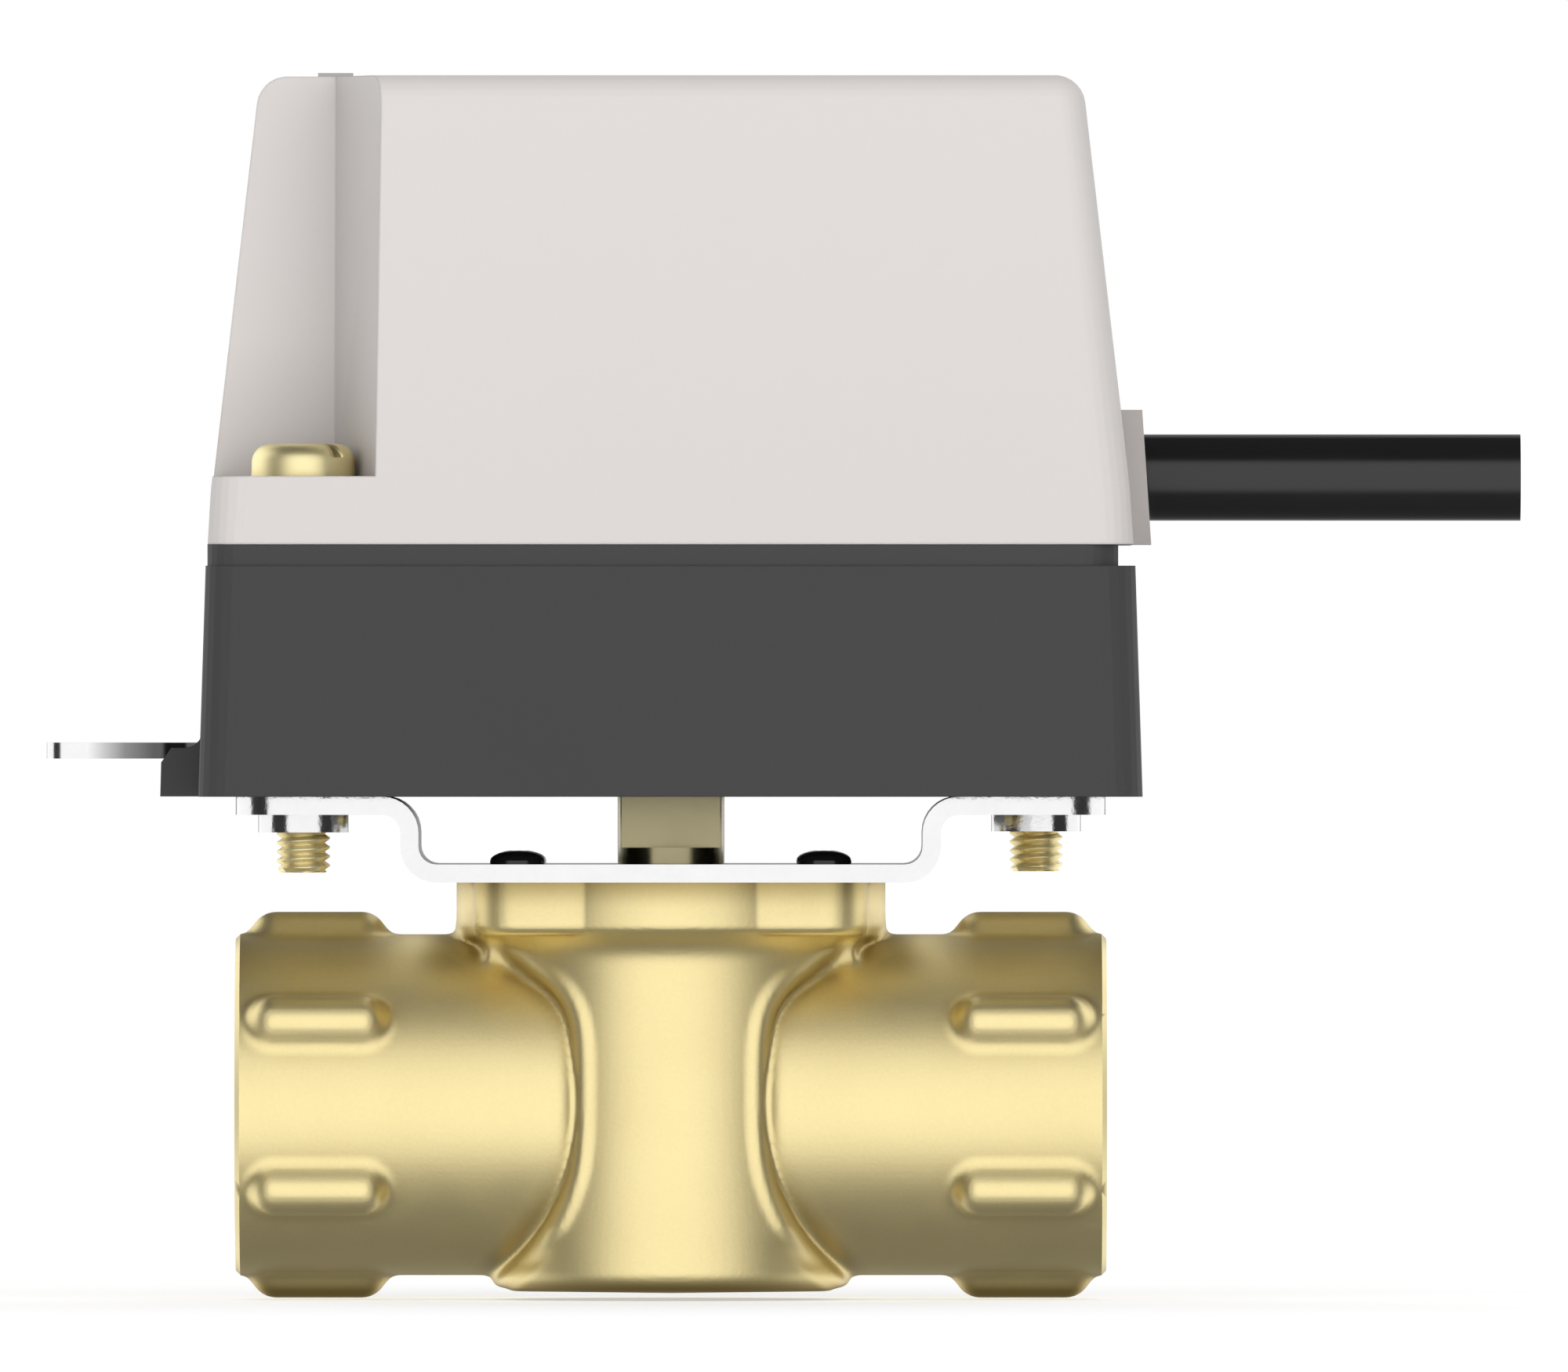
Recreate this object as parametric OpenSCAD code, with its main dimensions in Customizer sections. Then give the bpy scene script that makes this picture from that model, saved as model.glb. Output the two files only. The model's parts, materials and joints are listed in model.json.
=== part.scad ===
// Motorized zone valve: a G1 two-way ball valve with a clip-on electric head.
// Origin: centre of the inlet's end face. +X runs along the pipe, +Z along the stem.

/* [Valve body] */
// Face-to-face length of the valve
valve_len = 96.8; // [92:0.2:104]
// Outside diameter of the pipe ends
pipe_d = 37.92; // [36.6:0.02:39]
// Chamfer on the outside of each end
end_chamfer = 0.5; // [0.2:0.1:1]
// Minor diameter of the female thread
thread_d = 30.3; // [30:0.05:31]
// Depth of each female thread
thread_depth = 19; // [17:0.5:21]
// Ribs round each end
rib_count = 6; // [4:1:8]
// Height of a rib above the pipe
rib_h = 2.5; // [1.5:0.1:3]
// Radius of a rib's round section
rib_r = 2.8; // [2:0.1:3.2]
// Straight length of a rib
rib_len = 9.5; // [6:0.5:12]
// End face to the start of a rib's straight length
rib_inset = 4.5; // [4:0.1:6]

/* [Barrel and pad] */
// Diameter of the upright barrel
barrel_d = 43.4; // [42:0.1:44]
// Width of the barrel at its waist
waist_w = 18.8; // [17:0.2:22]
// How much wider each side gets towards the ends
waist_flare = 11.2; // [9:0.2:13]
// How late along its height a side flares
waist_power = 2.3; // [2:0.1:4]
// Pipe axis to the bottom of the barrel
barrel_bottom = 20.96; // [20.4:0.02:23]
// Corner round at the bottom of the barrel
barrel_edge = 2.2; // [1:0.1:3]
// Width of the square neck pad
pad_w = 43.48; // [42:0.02:48]
// Corner radius of the neck pad
pad_corner = 4.7; // [3:0.1:6]
// Diameter of the round part of the pad
pad_d = 47.66; // [46:0.02:50]
// Thickness of the neck pad
pad_t = 5.9; // [5:0.1:8]
// Round along the bottom edge of the neck pad
pad_edge = 1.3; // [0.5:0.1:2]
// Bottom of the neck pad to the bottom of the neck under it
neck_h = 2.1; // [1.6:0.1:2.6]
// Radius of the fillet between the barrel and the pad
neck_fillet = 3; // [2.5:0.1:3.6]
// Neck to the start of the pad's round edge
neck_step = 0.2; // [0.1:0.05:0.4]
// Pipe axis to the top of the pad
pad_top = 24.8; // [24.4:0.1:27]

/* [Ball and stem] */
// Diameter of the ball
ball_d = 28.5; // [27.6:0.1:28.8]
// Diameter of the waterway
port_d = 19; // [16:0.5:19.5]
// Diameter of the chamber that holds ball and seats
chamber_d = 29.8; // [29.6:0.05:29.9]
// Axial length of a seat ring
seat_t = 6.7; // [5.5:0.1:7.5]
// Axis of the ball to the back of a seat ring
seat_back = 14.2; // [13.8:0.1:15]
// Clearance between ball and seats
seat_gap = 0.2; // [0.1:0.05:0.3]
// Axial length of the seat retainer
retainer_t = 6.8; // [5:0.1:8]
// Width of the retainer's key slots
key_slot_w = 3; // [2:0.1:4]
// Diameter of the stem
stem_d = 11.87; // [11:0.01:12.4]
// Thickness across the stem's flats
tang_t = 4.6; // [4:0.1:6]
// Top of the pad to the start of the flats
tang_start = 3.8; // [3:0.1:5]
// Length of the stem's flats
tang_len = 17.4; // [15:0.1:18]
// Bottom of the tongue that turns the ball
tongue_z = 11.2; // [10.8:0.1:12]
// Length of the tongue
tongue_len = 11; // [9:0.5:12]
// Diameter of the collar that keeps the stem in
collar_d = 15.6; // [14:0.1:16]
// Bottom of the collar
collar_z = 15; // [14.6:0.1:15.4]
// Thickness of the collar
collar_t = 2.2; // [1.5:0.1:2.4]
// Thickness of the thrust washer
washer_t = 0.9; // [0.6:0.1:1.2]
// Section of an O-ring
oring_d = 1.28; // [1:0.01:1.32]
// Depth of an O-ring groove
groove_depth = 1.34; // [1.3:0.01:1.5]
// Height of an O-ring groove
groove_h = 1.6; // [1.4:0.1:1.8]
// Spacing of the two O-rings
oring_pitch = 2.6; // [2.4:0.1:2.8]

/* [Bracket] */
// Thickness of the sheet
sheet_t = 2; // [1.5:0.1:2.5]
// How far each end of the bracket stops short of the valve's face
bracket_inset = 0.2; // [0:0.1:1]
// Width of the bracket
bracket_w = 59; // [58.6:0.2:62]
// Outer faces of the upright legs, apart
leg_span = 59.85; // [58:0.05:64]
// How far the wings stand above the lower plate
joggle = 7.5; // [7:0.1:9]
// Inside radius of a bend
bend_r = 2; // [1.5:0.1:2.2]
// Corner radius of the wings
wing_corner = 5.6; // [2:0.1:6]
// Spacing of the four bracket screws
pad_screw_pitch = 34; // [33:0.1:34.4]
// Head diameter of a bracket screw
pad_screw_head_d = 6.1; // [5.5:0.1:7]
// Head height of a bracket screw
pad_screw_head_h = 1.5; // [1.2:0.1:1.9]
// Shank diameter of a bracket screw
pad_screw_d = 3.4; // [3:0.1:4]
// Length of a bracket screw below its head
pad_screw_len = 6.2; // [5:0.1:6.4]
// Diameter of a clinch nut's flange
nut_d = 10; // [9:0.1:10.6]
// Height of a clinch nut's flange
nut_h = 1.95; // [1.5:0.05:3]
// Diameter of a clinch nut's shank
nut_shank_d = 8; // [7.4:0.1:8.6]
// Length of a clinch nut's shank
nut_shank_h = 1.5; // [1:0.1:1.9]

/* [Head screws] */
// Shank diameter of the two long screws
head_screw_d = 5.9; // [5.5:0.05:6]
// Distance of each long screw from the stem, along the pipe
head_screw_x = 40.7; // [40.2:0.1:41]
// Distance of each long screw from the stem, across the pipe
head_screw_y = 24; // [23.6:0.1:24.2]
// Head diameter of a long screw
head_screw_head_d = 11.65; // [11:0.05:11.8]
// Head height of a long screw
head_screw_head_h = 4.6; // [4:0.1:5]
// How far a long screw reaches below its nut
head_screw_out = 4.45; // [3:0.05:6]
// Width of the screwdriver slot
slot_w = 1.1; // [0.8:0.1:1.6]
// Depth of the screwdriver slot
slot_depth = 1.5; // [1:0.1:2]
// Edge radius of a long screw's head
head_screw_round = 2; // [1:0.1:2.2]
// Clearance hole round a long screw, across both sides
head_screw_room = 0.6; // [0.4:0.1:0.8]

/* [Base] */
// Length of the base at its bottom
base_len = 104.6; // [104:0.2:106]
// Depth of the base at its bottom, front to back
base_w = 66; // [65.6:0.2:68]
// Height of the base up to its shoulder
base_h = 25.6; // [25.4:0.1:27]
// Draft of the base on each side, at the shoulder
base_draft = 0.8; // [0.4:0.1:1]
// Upright corner radius of the base
base_corner = 4; // [3:0.5:6]
// Wall of the base
base_wall = 2.2; // [1.8:0.1:2.4]
// Floor of the base
floor_t = 3; // [2.6:0.1:3.2]
// Height of the lip above the shoulder
lip_h = 2.36; // [2:0.02:3]
// Inset of the lip at the cable end
lip_inset_right = 1.9; // [1.2:0.1:2.2]
// Inset of the lip on the other sides
lip_inset = 0.2; // [0.1:0.1:0.6]
// Length of the lever's shelf beyond the base
shelf_out = 4.4; // [3.6:0.1:6]
// Height of the cheeks beside the lever
cheek_h = 5.4; // [5:0.1:6]
// Radius between a cheek's top and the base's wall
cheek_fillet = 2; // [1:0.1:2.2]
// Width of a cheek
cheek_w = 3.4; // [2.4:0.1:3.4]
// Diameter of the screw posts
post_d = 10; // [9:0.1:10.4]
// Diameter of the posts under the chassis plate
plate_post_d = 6; // [5:0.1:7]

/* [Cover] */
// How far each end of the cover stands in from the base's shoulder
cover_step_x = 0.225; // [0.1:0.025:0.4]
// How far each side of the cover stands in from the base's shoulder
cover_step_y = 0.1; // [0:0.05:0.3]
// Height of the cover
cover_h = 52; // [50:0.5:56]
// Height of the nearly upright band at the bottom
band_h = 6.04; // [5:0.02:6.4]
// Draft of that band at each end
band_draft_x = 0.35; // [0.1:0.05:0.5]
// Draft of that band on each side
band_draft_y = 0.3; // [0.1:0.05:0.5]
// Length lost on each end between the band and the top's round edge
cover_taper_x = 4.95; // [4:0.05:6]
// Depth lost on each side between the band and the top's round edge
cover_taper_y = 2.5; // [1.5:0.1:3]
// Edge radius round the top
cover_edge = 3.4; // [2:0.1:4]
// Wall of the cover
cover_wall = 2.4; // [2:0.1:2.6]
// Stem to a screw pocket's edge at the cover's face
pocket_x = 32.6; // [32.2:0.1:33]
// How far a pocket's side wall leans back
pocket_lean = 4.7; // [3:0.1:4.8]
// Stem to the back wall of a pocket
pocket_y = 12; // [11.8:0.1:12.6]
// Height of the pocket's edge above the cover's bottom
pocket_z = 7.54; // [7.4:0.02:9]
// Depth of the pocket's floor below that edge
pocket_sink = 1; // [0.6:0.1:1.4]
// Length of the status window
window_len = 10; // [6:0.5:14]
// Width of the status window
window_w = 3.85; // [3:0.05:6]
// How far the status window stands out
window_out = 0.45; // [0.2:0.05:1]
// Stem to the middle of the status window
window_x = 37.3; // [36:0.1:38]
// Thickness of the status window's inner flange
window_flange_t = 1.2; // [0.8:0.1:2]
// How far that flange stands out all round
window_flange = 1.5; // [1:0.1:2]

/* [Cable] */
// Diameter of the cable's sheath
cable_d = 9.6; // [8:0.1:10]
// Bore of the sheath
sheath_bore = 6.6; // [6.4:0.1:7]
// Free length outside the grommet
cable_out = 41.1; // [30:0.1:80]
// Height of the cable above the cover's bottom
cable_z = 7.5; // [7:0.1:8]
// Diameter of one core
core_d = 1.9; // [1.4:0.1:1.9]
// Cores in the cable
core_count = 5; // [3:1:5]
// Width of the grommet
grommet_w = 15.2; // [14:0.1:18]
// Height of the grommet
grommet_h = 15; // [14:0.1:16]
// How far the grommet stands out of the cover
grommet_out = 2.1; // [1.5:0.1:3]
// Wall of the cover's slot to the grommet's edge
grommet_rim = 1.3; // [1:0.1:2]
// Thickness of the grommet's inner flange
grommet_flange = 1.5; // [1:0.1:2]
// Width of the cord clamp
clamp_w = 18; // [16:0.2:18.4]
// Thickness of the cord clamp along the cable
clamp_t = 5.5; // [4:0.1:6]
// Strap of the cord clamp above the cable
clamp_strap = 1.6; // [1:0.1:3]
// Spacing of the terminals
block_pitch = 3.5; // [3:0.1:3.6]
// Length of the terminal block along the cable
block_len = 11; // [9:0.5:11]
// Height of the terminal block
block_h = 8.5; // [7.5:0.5:11]
// Gearbox to the terminal block
block_gap = 6.5; // [5:0.5:7]
// Chassis plate to the cores' entries
entry_h = 5.5; // [4:0.1:6]
// Wall of the terminal block beside its outer terminals
block_wall = 0.8; // [0.6:0.1:1]
// Diameter of a terminal's screw
terminal_screw_d = 2.5; // [2:0.1:2.7]
// Edge of the terminal block to its screws
terminal_edge = 3.6; // [3:0.1:4]
// Diameter of a motor lead
lead_d = 1.6; // [1:0.1:2]

/* [Gears] */
// Module of all gears
gear_m = 1; // [0.98:0.01:1.01]
// Teeth on the full circle of the output sector
sector_teeth = 36; // [36:4:36]
// Teeth on the motor's pinion
pinion_teeth = 16; // [16:4:16]
// Teeth of the hub's gear that turns the lever
drive_teeth = 24; // [24:4:24]
// Teeth on the full circle of the lever's sector
lever_teeth = 48; // [48:4:48]
// Pressure angle
pressure_angle = 20; // [18:0.5:22]
// Tooth thickness taken off for backlash
backlash = 0.16; // [0.1:0.01:0.24]
// Thickness of the output sector
sector_t = 3; // [2.5:0.1:3.4]
// Thickness of the motor's pinion
pinion_t = 5; // [4:0.1:6]
// Thickness of the hub's drive gear
drive_t = 3; // [2.4:0.1:3]
// Diameter of the hub
hub_d = 16; // [15:0.1:17]
// Diameter of the hub's upper journal
journal_d = 10; // [8:0.1:11]
// How far the hub's collar in the base's floor stands out
hub_collar = 0.5; // [0.3:0.1:1]
// How far the hub's shoulder under the lower cam stands out
hub_shoulder = 1; // [0.5:0.1:1.4]
// Depth of the flat that keys gears and cams to the hub
flat_depth = 1; // [0.6:0.1:1.4]
// Width of the output sector's rim under its teeth
sector_rim = 2.35; // [1.5:0.05:3]
// Width of the web round the hub
web_round = 2.5; // [2:0.1:3]

/* [Lever] */
// Thickness of the lever's sheet
lever_t = 1.78; // [1.4:0.02:2]
// Bottom of the base to the lever
lever_z = 4.2; // [4:0.05:4.5]
// Stem to the lever's tip
lever_tip = 69.4; // [66:0.1:72]
// Width of the lever's tip
lever_w = 10; // [8:0.1:11]
// Width that the lever gains towards the base
lever_flare = 4; // [2:0.1:5]
// Corner radius of the lever's tip
lever_corner = 2.4; // [1.5:0.1:3.5]
// Travel of the lever, in degrees
lever_travel = 45; // [45:1:45]
// Diameter of the lever's pin
pin_d = 6; // [5:0.1:7]
// Wall of the post under the lever's pin
pin_post_wall = 2.5; // [1.5:0.1:3]
// Diameter of the lever's eye
lever_eye_d = 17; // [15:0.5:18]
// Length over which the lever flares
flare_len = 5.5; // [4:0.1:7]
// Room beside the lever in its slot
lever_room = 1.2; // [0.8:0.1:1.6]
// Room over and under the lever in its slot
lever_gap = 0.4; // [0.3:0.05:0.6]
// Depth of the groove for the retaining ring
clip_depth = 0.6; // [0.4:0.1:1]
// Width of the groove for the retaining ring
clip_t = 0.8; // [0.6:0.05:1]

/* [Drive] */
// Thickness of the chassis plate
plate_t = 2; // [1.5:0.1:2.2]
// Diameter of the motor's gearbox
gearbox_d = 49; // [46:0.5:49.5]
// Height of the gearbox
gearbox_h = 14.5; // [12:0.5:18]
// Diameter of the motor's can
can_d = 47.6; // [44:0.2:48]
// Height of the motor's can
can_h = 23; // [16:0.5:24]
// Output shaft to the middle of the motor
shaft_offset = 17; // [15:0.5:18]
// Diameter of the output shaft
shaft_d = 6; // [5:0.1:6.4]
// How far the output shaft reaches into the gearbox
shaft_in = 8.5; // [6:0.5:11]
// Wall of the bearing boss round the output shaft
boss_wall = 1.5; // [1:0.1:2]
// Edge of the gearbox to an ear's screw
ear_out = 4.5; // [4.3:0.1:5]
// Radius of an ear round its screw
ear_round = 4.2; // [3.5:0.1:4.3]
// Thickness of an ear
ear_t = 1.5; // [1:0.1:2]
// Width of the box where the leads leave the gearbox
lead_box_w = 11; // [9:0.5:13]
// Height of that box
lead_box_h = 6.5; // [6:0.5:8]
// How far that box stands out of the gearbox
lead_box_out = 1.5; // [1:0.1:2]
// Width of the can's crimped rim
can_rim = 0.6; // [0.3:0.1:0.7]
// Edge radius of the can's top
can_round = 2; // [1:0.1:3]
// Diameter of the dish over the can's bearing
dish_d = 18; // [14:0.5:22]
// Depth of that dish
dish_depth = 0.8; // [0.4:0.1:1.2]
// Length of a microswitch
switch_len = 19.8; // [18:0.1:20.4]
// Depth of a microswitch
switch_depth = 10.2; // [9:0.1:11]
// Thickness of a microswitch
switch_t = 6.4; // [6:0.1:6.6]
// Radius of a cam's round part
cam_r = 10; // [9.5:0.1:10.4]
// Height of a cam's lobe
lobe_h = 2.2; // [1:0.1:2.4]
// Thickness of a cam
cam_t = 3; // [2:0.1:3]
// Gap between a lobe and its plunger
plunger_gap = 0.3; // [0.2:0.05:0.5]
// Travel of a plunger
plunger_travel = 1; // [0.6:0.1:1.2]
// Thickness of the spacer between the switches
spacer_t = 2.9; // [2.6:0.1:3.2]
// How far a plunger stands out of its switch
plunger_out = 3; // [2.5:0.1:3.5]
// Length of a plunger inside its switch
plunger_in = 3; // [2.5:0.1:4]
// Stem's line to a microswitch's screws
switch_bolt = 4.75; // [4.5:0.05:5]
// Radius of a microswitch's screws
switch_screw_r = 1.2; // [1:0.1:1.4]
// Spacing of a microswitch's tags
tag_pitch = 7; // [6:0.1:7.4]
// Width of the run capacitor
capacitor_w = 13.5; // [12:0.5:14]
// Gearbox to the run capacitor
capacitor_gap = 6; // [4:0.5:7]
// Wall of the base to the run capacitor and a plate post's middle
side_gap = 2.8; // [2.6:0.1:3.2]
// Radius of the small screws
small_screw_r = 1.4; // [1.2:0.05:1.5]
// Height of a small screw's head
small_head_h = 1.6; // [1.2:0.1:2]
// Height of the run capacitor
capacitor_h = 17; // [12:0.5:24]
// Diameter of a plunger
plunger_d = 2.4; // [2:0.1:3]

/* [Fits] */
// Radial clearance of turning fits
run_fit = 0.05; // [0.03:0.01:0.08]
// Clearance between pieces that don't move on each other
static_fit = 0.1; // [0.05:0.01:0.15]

/* [Hidden] */
$fn = 64;
e = 0.01;

stem_x = valve_len / 2;
bracket_len = valve_len - 2 * bracket_inset;
pad_bottom = pad_top - pad_t;
bolt = pad_screw_pitch / 2;
washer_z = collar_z + collar_t + run_fit;
groove_z = (washer_z + washer_t + pad_top) / 2;
stem_r = stem_d / 2;
tang_z = pad_top + tang_start;

low_top = pad_top + sheet_t;
wing_z = pad_top + joggle;
head_z = wing_z + sheet_t;
leg_x = leg_span / 2;

shoulder_z = head_z + base_h;
lip_z = shoulder_z + lip_h;
floor_z = head_z + floor_t;
cover_top = lip_z + cover_h;
kink_z = lip_z + band_h;
ledge_z = lip_z + pocket_z;
pocket_floor = ledge_z - pocket_sink;
cable_axis = lip_z + cable_z;

// Half sizes of the shells
base_x = base_len / 2;
base_y = base_w / 2;
lip_left = base_x - base_draft - lip_inset;
lip_right = base_x - base_draft - lip_inset_right;
lip_y = base_y - base_draft - lip_inset;
cavity_left = base_x - base_draft - base_wall;
cavity_right = lip_right - base_wall;
cavity_y = lip_y - base_wall;
cover_x = base_x - base_draft - cover_step_x;
cover_y = base_y - base_draft - cover_step_y;
band_x = cover_x - band_draft_x;
band_y = cover_y - band_draft_y;
// Slope of the cover's side between the band and the round edge at the top
function lean(taper) = let (run = taper + cover_edge, rise = cover_h - band_h - cover_edge)
    tan(atan(run / rise) - asin(cover_edge / norm([run, rise])));

// Gear train: pitch radii and places
pitch_sector = gear_m * sector_teeth / 2;
pitch_pinion = gear_m * pinion_teeth / 2;
pitch_drive = gear_m * drive_teeth / 2;
pitch_lever = gear_m * lever_teeth / 2;
// Angles between which the output sector has its teeth
sector_arc = [70, 200];
pinion_x = -(pitch_sector + pitch_pinion);
pivot_x = -(pitch_drive + pitch_lever);
motor_x = pinion_x + shaft_offset;
lever_bottom = head_z + lever_z;
drive_z = lever_bottom + lever_t / 2 - drive_t / 2;

plate_z = shoulder_z - lip_h;
plate_top = plate_z + plate_t;
cam_closed_z = plate_z - switch_t / 2;
cam_open_z = cam_closed_z - switch_t - spacer_t;
sector_z = cam_open_z + cam_t / 2 + 0.5;
switch_x = cam_r + lobe_h + plunger_gap + plunger_out;
hub_z = head_z + static_fit * 2;
plate_posts = [[-head_screw_x, head_screw_y], [head_screw_x, -head_screw_y],
    [4, side_gap - cavity_y], [14, cavity_y - side_gap - 1]];
ear_r = gearbox_d / 2 + ear_out;
ear_angles = [150, 330];
// Angles at which the two long screws' slots came to rest
slot_turns = [-47, 80];
small_hole_r = small_screw_r + static_fit;
motor_right = motor_x + gearbox_d / 2;
shaft_bottom = sector_z + (sector_t - pinion_t) / 2 - 0.5;

// Places along the cable, from the motor to the grommet
clamp_x = cavity_right - side_gap + 0.4 - clamp_t;
clamp_top = cable_axis + static_fit + cable_d / 2 + clamp_strap;
sheath_start = clamp_x - 1;
block_x = motor_right + block_gap;
entry_z = plate_top + entry_h;
core_circle = (sheath_bore - core_d) / 2 - static_fit;
grommet_face = cover_x + grommet_out;
cable_end = grommet_face + cable_out;
cover_side = band_x - (grommet_h - band_h) * lean(cover_taper_x);
lever_half = (lever_w + lever_flare) / 2;
slot_front = -(lever_half + lever_room);
slot_back = (lever_tip + pivot_x) * sin(lever_travel) + lever_w / 2 * cos(lever_travel) + lever_room - 0.2;

// Shared shapes

function arc(x, y, r, a, b, n) =
    [for (i = [0:n]) [x + r * cos(a + (b - a) * i / n), y + r * sin(a + (b - a) * i / n)]];

function round_rect(x0, x1, y0, y1, r, n = 6) = concat(
    arc(x1 - r, y1 - r, r, 0, 90, n),
    arc(x0 + r, y1 - r, r, 90, 180, n),
    arc(x0 + r, y0 + r, r, 180, 270, n),
    arc(x1 - r, y0 + r, r, 270, 360, n));

module at_stem() {
    translate([stem_x, 0, 0]) children();
}

// A flat slab with round upright corners
module slab(x0, x1, y, z, h, r) {
    translate([0, 0, z]) linear_extrude(h) polygon(round_rect(x0, x1, -y, y, r));
}

// A ring about Z
module ring(outer, inner, z, h) {
    translate([0, 0, z]) difference() {
        cylinder(r = outer, h = h);
        translate([0, 0, -1]) cylinder(r = inner, h = h + 2);
    }
}

// A round rod from one point to another
module rod(a, b, r, n = 24) {
    d = b - a;
    len = norm(d);
    translate(a) rotate([0, acos(d[2] / len), atan2(d[1], d[0])]) cylinder(r = r, h = len, $fn = n);
}

// Involute teeth as points, from tooth i0 to tooth i1 of a wheel with z teeth
function involute(a) = tan(a) * 180 / PI - a;
function tooth_half(z) = 90 / z - backlash / (gear_m * z) * 180 / PI + involute(pressure_angle);
function flank(z, r) = tooth_half(z) - involute(acos(min(1, gear_m * z / 2 * cos(pressure_angle) / r)));
function tooth_radii(z) = let (rp = gear_m * z / 2, rb = rp * cos(pressure_angle),
    lo = max(rb, rp - 1.25 * gear_m), hi = rp + gear_m) [for (i = [0:4]) lo + (hi - lo) * i / 4];
function polar(r, a) = [r * cos(a), r * sin(a)];
function teeth(z, i0, i1, phase = 0) = let (root = gear_m * (z / 2 - 1.25), radii = tooth_radii(z))
    [for (i = [i0:i1]) let (mid = phase + i * 360 / z) each concat(
        [polar(root, mid - flank(z, radii[0]) - 0.15)],
        [for (r = radii) polar(r, mid - flank(z, r))],
        [for (k = [4:-1:0]) polar(radii[k], mid + flank(z, radii[k]))],
        [polar(root, mid + flank(z, radii[0]) + 0.15)])];

// Valve

function waist(z) = waist_w / 2 + waist_flare * pow(abs(z) / barrel_bottom, waist_power);

module rib() {
    rod([0, 0, 0], [rib_len, 0, 0], rib_r, 32);
    sphere(r = rib_r, $fn = 32);
    translate([rib_len, 0, 0]) sphere(r = rib_r, $fn = 32);
}

module rib_ring() {
    for (i = [0:rib_count - 1])
        rotate([i * 360 / rib_count, 0, 0])
            translate([rib_inset, 0, pipe_d / 2 + rib_h - rib_r]) rib();
}

module pipe_blank() {
    r = pipe_d / 2;
    rotate([0, 90, 0]) rotate_extrude($fn = 96) polygon([
        [0, 0], [r - end_chamfer, 0], [r, end_chamfer],
        [r, valve_len - end_chamfer], [r - end_chamfer, valve_len], [0, valve_len]]);
}

// Half front view of the barrel: round foot, waist, then the ledge of the neck under the pad
function barrel_side() = let (r = barrel_d / 2, top = pad_bottom - neck_h, bend = top - 1.3,
    foot = waist(bend), half = pad_w / 2 - pad_edge - neck_step, steps = 16,
    low = barrel_edge - barrel_bottom, toe = min(r, waist(low)) - barrel_edge) concat(
    [[toe, -barrel_bottom - 1]], arc(toe, low, barrel_edge, -75, 0, 5),
    [for (i = [1:steps]) let (z = low + (bend - low) * i / steps) [min(r, waist(z)), z]],
    [for (a = [15:15:90]) [foot + (half - foot) * (1 - cos(a)), bend + (top - bend) * sin(a)]],
    [[half, pad_bottom + pad_edge / 2]]);

// The barrel is a round column cut to a waist on both sides, with a fillet up to the pad
module barrel() {
    r = barrel_d / 2;
    out = max(0.1, (pad_d - barrel_d) / 2 - pad_edge - neck_step);
    sweep = acos(1 - min(1, out / neck_fillet));
    span = pad_bottom + barrel_bottom;
    side = barrel_side();
    intersection() {
        translate([0, 0, -barrel_bottom]) rotate_extrude($fn = 96) polygon(concat(
            [[0, 0]], [[r - barrel_edge - 2, 0.2]],
            arc(r - barrel_edge, barrel_edge + 0.3, barrel_edge, -90, 0, 5),
            arc(r + neck_fillet, span - neck_fillet, neck_fillet, 180, 180 - sweep, 5),
            [[r + out, span + pad_edge / 2], [0, span + pad_edge / 2]]));
        mirrored_slice(side, pad_d);
    }
}

// A slice across the pipe from half a front view
module mirrored_slice(half, w) {
    translate([0, w / 2, 0]) rotate([90, 0, 0]) linear_extrude(w)
        polygon(concat(half, [for (i = [len(half) - 1:-1:0]) [-half[i][0], half[i][1]]]));
}

module pad() {
    h = pad_w / 2;
    side = concat(arc(h - pad_edge, pad_bottom + pad_edge, pad_edge, -90, 0, 4), [[h, pad_top]]);
    intersection() {
        slab(-h, h, h, pad_bottom, pad_t, pad_corner);
        mirrored_slice(side, 2 * h + 2);
        rotate([0, 0, 90]) mirrored_slice(side, 2 * h + 2);
    }
    translate([0, 0, pad_bottom]) rotate_extrude($fn = 96) polygon(concat(
        [[0, 0]], arc(pad_d / 2 - pad_edge, pad_edge, pad_edge, -90, 0, 5),
        [[pad_d / 2, pad_t], [0, pad_t]]));
}

module valve_body() color("goldenrod") difference() {
    union() {
        pipe_blank();
        rib_ring();
        translate([valve_len, 0, 0]) mirror([1, 0, 0]) rib_ring();
        at_stem() barrel();
        at_stem() pad();
    }
    // Inlet: thread, then the waterway up to the inlet seat
    translate([-1, 0, 0]) rotate([0, 90, 0]) cylinder(d = thread_d, h = thread_depth + 1);
    rotate([0, 90, 0]) cylinder(d = port_d, h = stem_x);
    // Chamber, bored from the outlet's thread
    translate([stem_x - seat_back, 0, 0]) rotate([0, 90, 0]) cylinder(d = chamber_d, h = valve_len);
    translate([valve_len - thread_depth, 0, 0]) rotate([0, 90, 0])
        cylinder(d = thread_d, h = thread_depth + 1);
    at_stem() {
        cylinder(d = collar_d + 4 * static_fit, h = washer_z + washer_t);
        cylinder(r = stem_r + run_fit, h = pad_top + 1);
        for (x = [-bolt, bolt], y = [-bolt, bolt])
            translate([x, y, low_top - pad_screw_len - 0.3])
                cylinder(d = pad_screw_d + 2 * static_fit, h = pad_screw_len + 1, $fn = 32);
    }
}

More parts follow.
